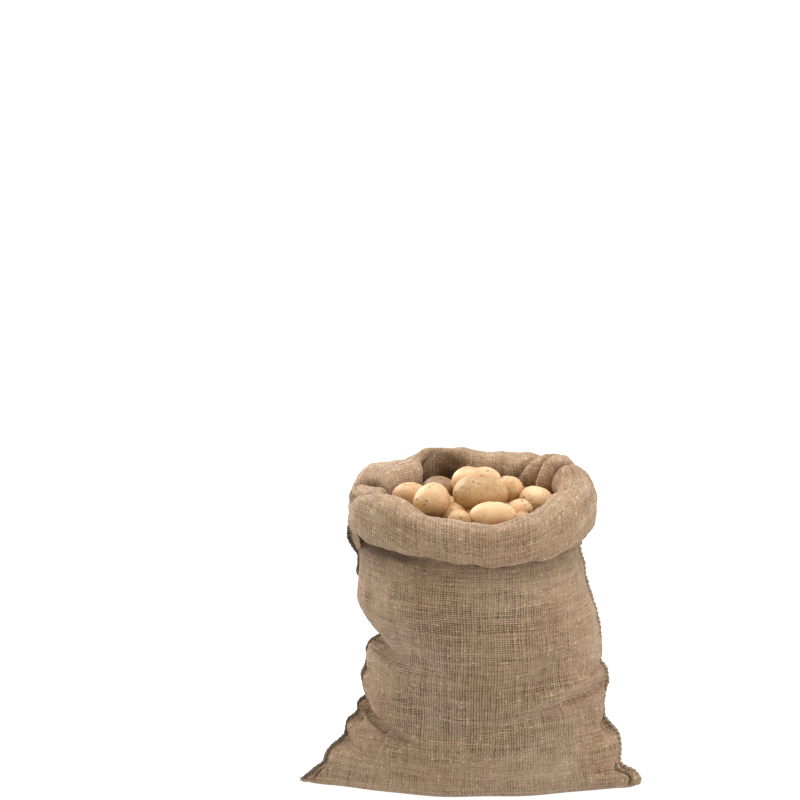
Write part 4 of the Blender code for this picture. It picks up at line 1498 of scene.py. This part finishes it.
class SACK_OT_make_stage(bpy.types.Operator):
    """Make the camera, the floor and the lights"""

    bl_idname = "sack.make_stage"
    bl_label = "Make Stage"

    def execute(self, context):
        settings = context.scene.sack_stage
        scene = context.scene
        down = settings.view_height
        back, up = Vector((0, -cos(down), sin(down))), Vector((0, sin(down), cos(down)))
        camera = place_in_scene("camera", bpy.data.cameras.new("camera"))
        camera.data.sensor_width = SENSOR_WIDTH
        camera.data.lens = SENSOR_WIDTH * settings.view_distance / settings.picture_width
        camera.location = SACK_MIDDLE + back * settings.view_distance
        aim = SACK_MIDDLE - Vector((VIEW_RIGHT, 0, 0)) + up * VIEW_BELOW - camera.location
        camera.rotation_euler = upright(aim)
        scene.camera = camera

        floor = bpy.data.meshes.new("floor")
        corners = [(x * FLOOR_REACH, y * FLOOR_REACH, 0) for x, y in FLOOR_CORNERS]
        floor.from_pydata(corners, [], [(0, 1, 2, 3)])
        paint = Finish("floor_paint", roughness=0.9)
        paint.shade("Base Color", settings.floor_colour)
        paint.shade("Emission Color", (1, 1, 1))
        paint.shade("Emission Strength", FLOOR_GLOW)
        floor.materials.append(paint.material)
        floor_object = place_in_scene("floor", floor)
        floor_object.location.z = -FLOOR_DROP
        floor_object.visible_diffuse = False
        floor_object.visible_glossy = False
        floor_object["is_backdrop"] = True

        world = bpy.data.worlds.new("studio")
        world.use_nodes = True
        tree = world.node_tree
        way = add_node(tree, "TexCoord", "Generated")
        height = add_node(tree, "SeparateXYZ", "Z", {0: way})
        height = add_node(tree, "MapRange", "Result", {"Value": height, "From Min": -1.0})
        grade = add_node(tree, "ValToRGB", "Color", {"Fac": height})
        stops = grade.socket.node.color_ramp.elements
        for number, (height, strength) in enumerate(SKY):
            position = (height + 1) / 2
            stop = stops[number] if number < len(stops) else stops.new(position)
            stop.position = position
            stop.color = (strength, strength, strength, 1)
        feed(tree.nodes["Background"].inputs["Color"], grade)
        feed(tree.nodes["Background"].inputs["Strength"], settings.sky_strength)
        scene.world = world
        for light in LAMPS:
            lamp = place_in_scene(light.name, bpy.data.lights.new(light.name, "AREA"))
            lamp.data.energy = light.share * settings.lamp_power
            lamp.data.size = settings.lamp_size
            lamp.location = light.place
            lamp.rotation_euler = upright(SACK_MIDDLE - Vector(light.place))
        scene.view_settings.view_transform = "Standard"
        return {"FINISHED"}


class SACK_OT_make_cloth(bpy.types.Operator):
    """Make the sack's woven cloth"""

    bl_idname = "sack.make_cloth"
    bl_label = "Make Cloth"

    def execute(self, context):
        settings = context.scene.sack_cloth
        grid = cloth_grid(settings)
        rows, columns = grid.points.shape[:2]
        points = np.concatenate([grid.points.reshape(-1, 3), [grid.points[0].mean(axis=0)]])
        faces = ring_faces(rows, columns)
        faces += cap_faces(list(range(columns)), rows * columns, False)
        finish = hessian_finish(settings)
        cloth = add_piece(
            "hessian_cloth", (points, faces), finish, "hessian",
            open_weave=[*grid.open_weave.ravel(), 0], soiled=[*grid.soiled.ravel(), 0],
        )
        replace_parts(cloth, "sack_cloth")
        start, end = grid.uv_from, grid.uv_to
        places = np.stack([start[:-1], end[:-1], end[1:], start[1:]], axis=2).reshape(-1, 2)
        fan = np.stack([start[0] - (0, BASE_TIP_BEYOND), end[0], start[0]], axis=1)
        places = np.concatenate([places, fan.reshape(-1, 2)])
        lay_cloth(cloth, places, settings.thickness)
        path = seam_path(grid, 180, context.scene.sack_seams)[0]
        points, places = seam_flap(path, settings.bag_width)
        faces = sheet_faces(*points.shape[:2])
        flap = add_piece("seam_flap", (points, faces), finish, "hessian")
        lay_cloth(flap, places.reshape(-1, 2)[np.ravel(faces)], settings.thickness)
        2 * settings.bag_width
        return {"FINISHED"}


class SACK_OT_make_seams(bpy.types.Operator):
    """Make the sewn edges down the sack's sides"""

    bl_idname = "sack.make_seams"
    bl_label = "Make Seams"

    def execute(self, context):
        settings = context.scene.sack_seams
        grid = cloth_grid(context.scene.sack_cloth)
        left = (settings.left_dark, settings.left_light, settings.left_dark)
        right = (settings.right_dark, settings.right_light, settings.right_stitch)
        sides = (("left", 180, *left), ("right", 0, *right))
        for side, angle, dark, light, twine_dark in sides:
            cord, twine = sewn_edge(*seam_path(grid, angle, settings), settings, SEAM_SEEDS[angle])
            finish = twine_finish(f"{side}_selvedge", dark, light)
            made = add_piece(f"{side}_selvedge", cord, finish, "seam_twine")
            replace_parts(made, f"seam_{side}")
            finish = twine_finish(f"{side}_twine", twine_dark, settings.left_light)
            add_piece(f"{side}_stitches", twine, finish, "seam_twine")
        return {"FINISHED"}


class SACK_OT_make_fibres(bpy.types.Operator):
    """Make the loose fibres that stand off the cloth"""

    bl_idname = "sack.make_fibres"
    bl_label = "Make Fibres"

    def execute(self, context):
        settings = context.scene.sack_seams
        grid = cloth_grid(context.scene.sack_cloth)
        fibres = strands(fibre_paths(grid, settings.fibre_count, seed=21), settings.fibre_radius)
        add_piece("loose_fibres", fibres, twine_finish("loose_fibre", *FIBRE_COLOURS), "hessian")
        corner = grid.points[grid.wall_rows.start + CORNER_ROW, grid.half]
        fray = strands(fray_paths(corner, seed=9), FRAY_RADIUS)
        add_piece("corner_fray", fray, twine_finish("corner_fray", *FRAY_COLOURS), "hessian")
        return {"FINISHED"}


class SACK_OT_make_potatoes(bpy.types.Operator):
    """Make the potatoes that show in the sack's mouth"""

    bl_idname = "sack.make_potatoes"
    bl_label = "Make Potatoes"

    def execute(self, context):
        settings = context.scene.sack_potatoes
        for seed, potato in enumerate(POTATOES, FIRST_POTATO_SEED):
            turned = Euler((0, radians(potato.pitch), radians(potato.yaw))).to_matrix()
            size = POTATO_GROWTH * np.array([potato.length, potato.width, potato.height])
            *shape, mark = potato_form(
                size, turned, middle_of(potato), potato.eyes, seed, settings.rings,
                settings.segments, potato.waist,
            )
            name = f"{potato.node}_skin"
            finish = potato_finish(name, settings, potato.dusk)
            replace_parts(add_piece(name, shape, finish, "potato_skin", eye=mark), potato.node)
        return {"FINISHED"}


class SACK_OT_make_under_potatoes(bpy.types.Operator):
    """Make the potatoes that lie under those that show"""

    bl_idname = "sack.make_under_potatoes"
    bl_label = "Make Under Potatoes"

    def execute(self, context):
        settings = context.scene.sack_potatoes
        random = np.random.default_rng(UNDER_SEED)
        count = settings.under_count
        shown = np.array([middle_of(potato) for potato in POTATOES])
        shown_radii = np.array([SHOWN_SHARE * (p.length + p.width) / 2 for p in POTATOES])
        level = random.uniform(-1, 1, (count, 2)) * UNDER_REACH * UNDER_START_SHARE
        places = np.concatenate([level, random.uniform(*UNDER_START_HEIGHTS, (count, 1))], axis=1)
        radii = random.uniform(*UNDER_RADII, count)
        for _ in range(UNDER_PUSHES):
            move = np.zeros_like(places)
            for others, other_radii in ((shown, shown_radii), (places, radii)):
                gap = places[:, None] - others[None]
                distance = np.linalg.norm(gap, axis=-1) + 1e-9
                push = np.maximum(radii[:, None] + other_radii[None] - distance, 0)
                move += (gap / distance[..., None] * push[..., None]).sum(axis=1) * UNDER_PUSH
            places += move * (1, 1, UNDER_LIFT)
            share = np.linalg.norm(places[:, :2] / UNDER_REACH, axis=1, keepdims=True)
            places[:, :2] /= np.maximum(share, 1)
            places[:, 2] = np.clip(places[:, 2], *UNDER_HEIGHTS)
        shapes, marks = [], []
        for seed, (place, radius) in enumerate(zip(places, radii), FIRST_UNDER_SEED):
            turned = Euler(random.uniform(*UNDER_TURNS, 3)).to_matrix()
            *shape, mark = potato_form(
                2 * radius * UNDER_SHAPE, turned, place, UNDER_EYES, seed, UNDER_RINGS,
                UNDER_SEGMENTS,
            )
            shapes.append(shape)
            marks.append(mark)
        finish = potato_finish("under_potatoes", settings, UNDER_TONE_AND_SHADE)
        shape, eyes = join_shapes(shapes), np.concatenate(marks)
        made = add_piece("under_potatoes", shape, finish, "potato_skin", eye=eyes)
        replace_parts(made, "potato_bed")
        return {"FINISHED"}


class SACK_PT_panel(bpy.types.Panel):
    """Lists the steps that dress the sack, and their settings"""

    bl_label = "Hessian Sack"
    bl_idname = "SACK_PT_panel"
    bl_space_type = "VIEW_3D"
    bl_region_type = "UI"
    bl_category = "Sack"

    def draw(self, context):
        for operator in OPERATORS:
            self.layout.operator(operator.bl_idname)
        for name, group in SETTINGS.items():
            box = self.layout.box()
            box.label(text=group.__doc__)
            for prop in group.__annotations__:
                box.prop(getattr(context.scene, name), prop)


OPERATORS = (
    SACK_OT_make_stage,
    SACK_OT_make_cloth,
    SACK_OT_make_seams,
    SACK_OT_make_fibres,
    SACK_OT_make_potatoes,
    SACK_OT_make_under_potatoes,
)
SETTINGS = {
    "sack_cloth": SackClothSettings,
    "sack_seams": SackSeamSettings,
    "sack_potatoes": SackPotatoSettings,
    "sack_stage": SackStageSettings,
}


def register():
    for item in (*SETTINGS.values(), *OPERATORS, SACK_PT_panel):
        bpy.utils.register_class(item)
    for name, group in SETTINGS.items():
        setattr(bpy.types.Scene, name, PointerProperty(type=group))


def unregister():
    for name in SETTINGS:
        delattr(bpy.types.Scene, name)
    for item in (SACK_PT_panel, *OPERATORS, *SETTINGS.values()):
        bpy.utils.unregister_class(item)


def main():
    register()
    bpy.ops.sack.make_stage()
    bpy.ops.sack.make_cloth()
    bpy.ops.sack.make_seams()
    bpy.ops.sack.make_fibres()
    bpy.ops.sack.make_potatoes()
    bpy.ops.sack.make_under_potatoes()
    boxes = {"cad": CAD_BOX, "visual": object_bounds()}
    {name: [list(corner) for corner in box] for name, box in boxes.items()}


if __name__ == "__main__":
    main()
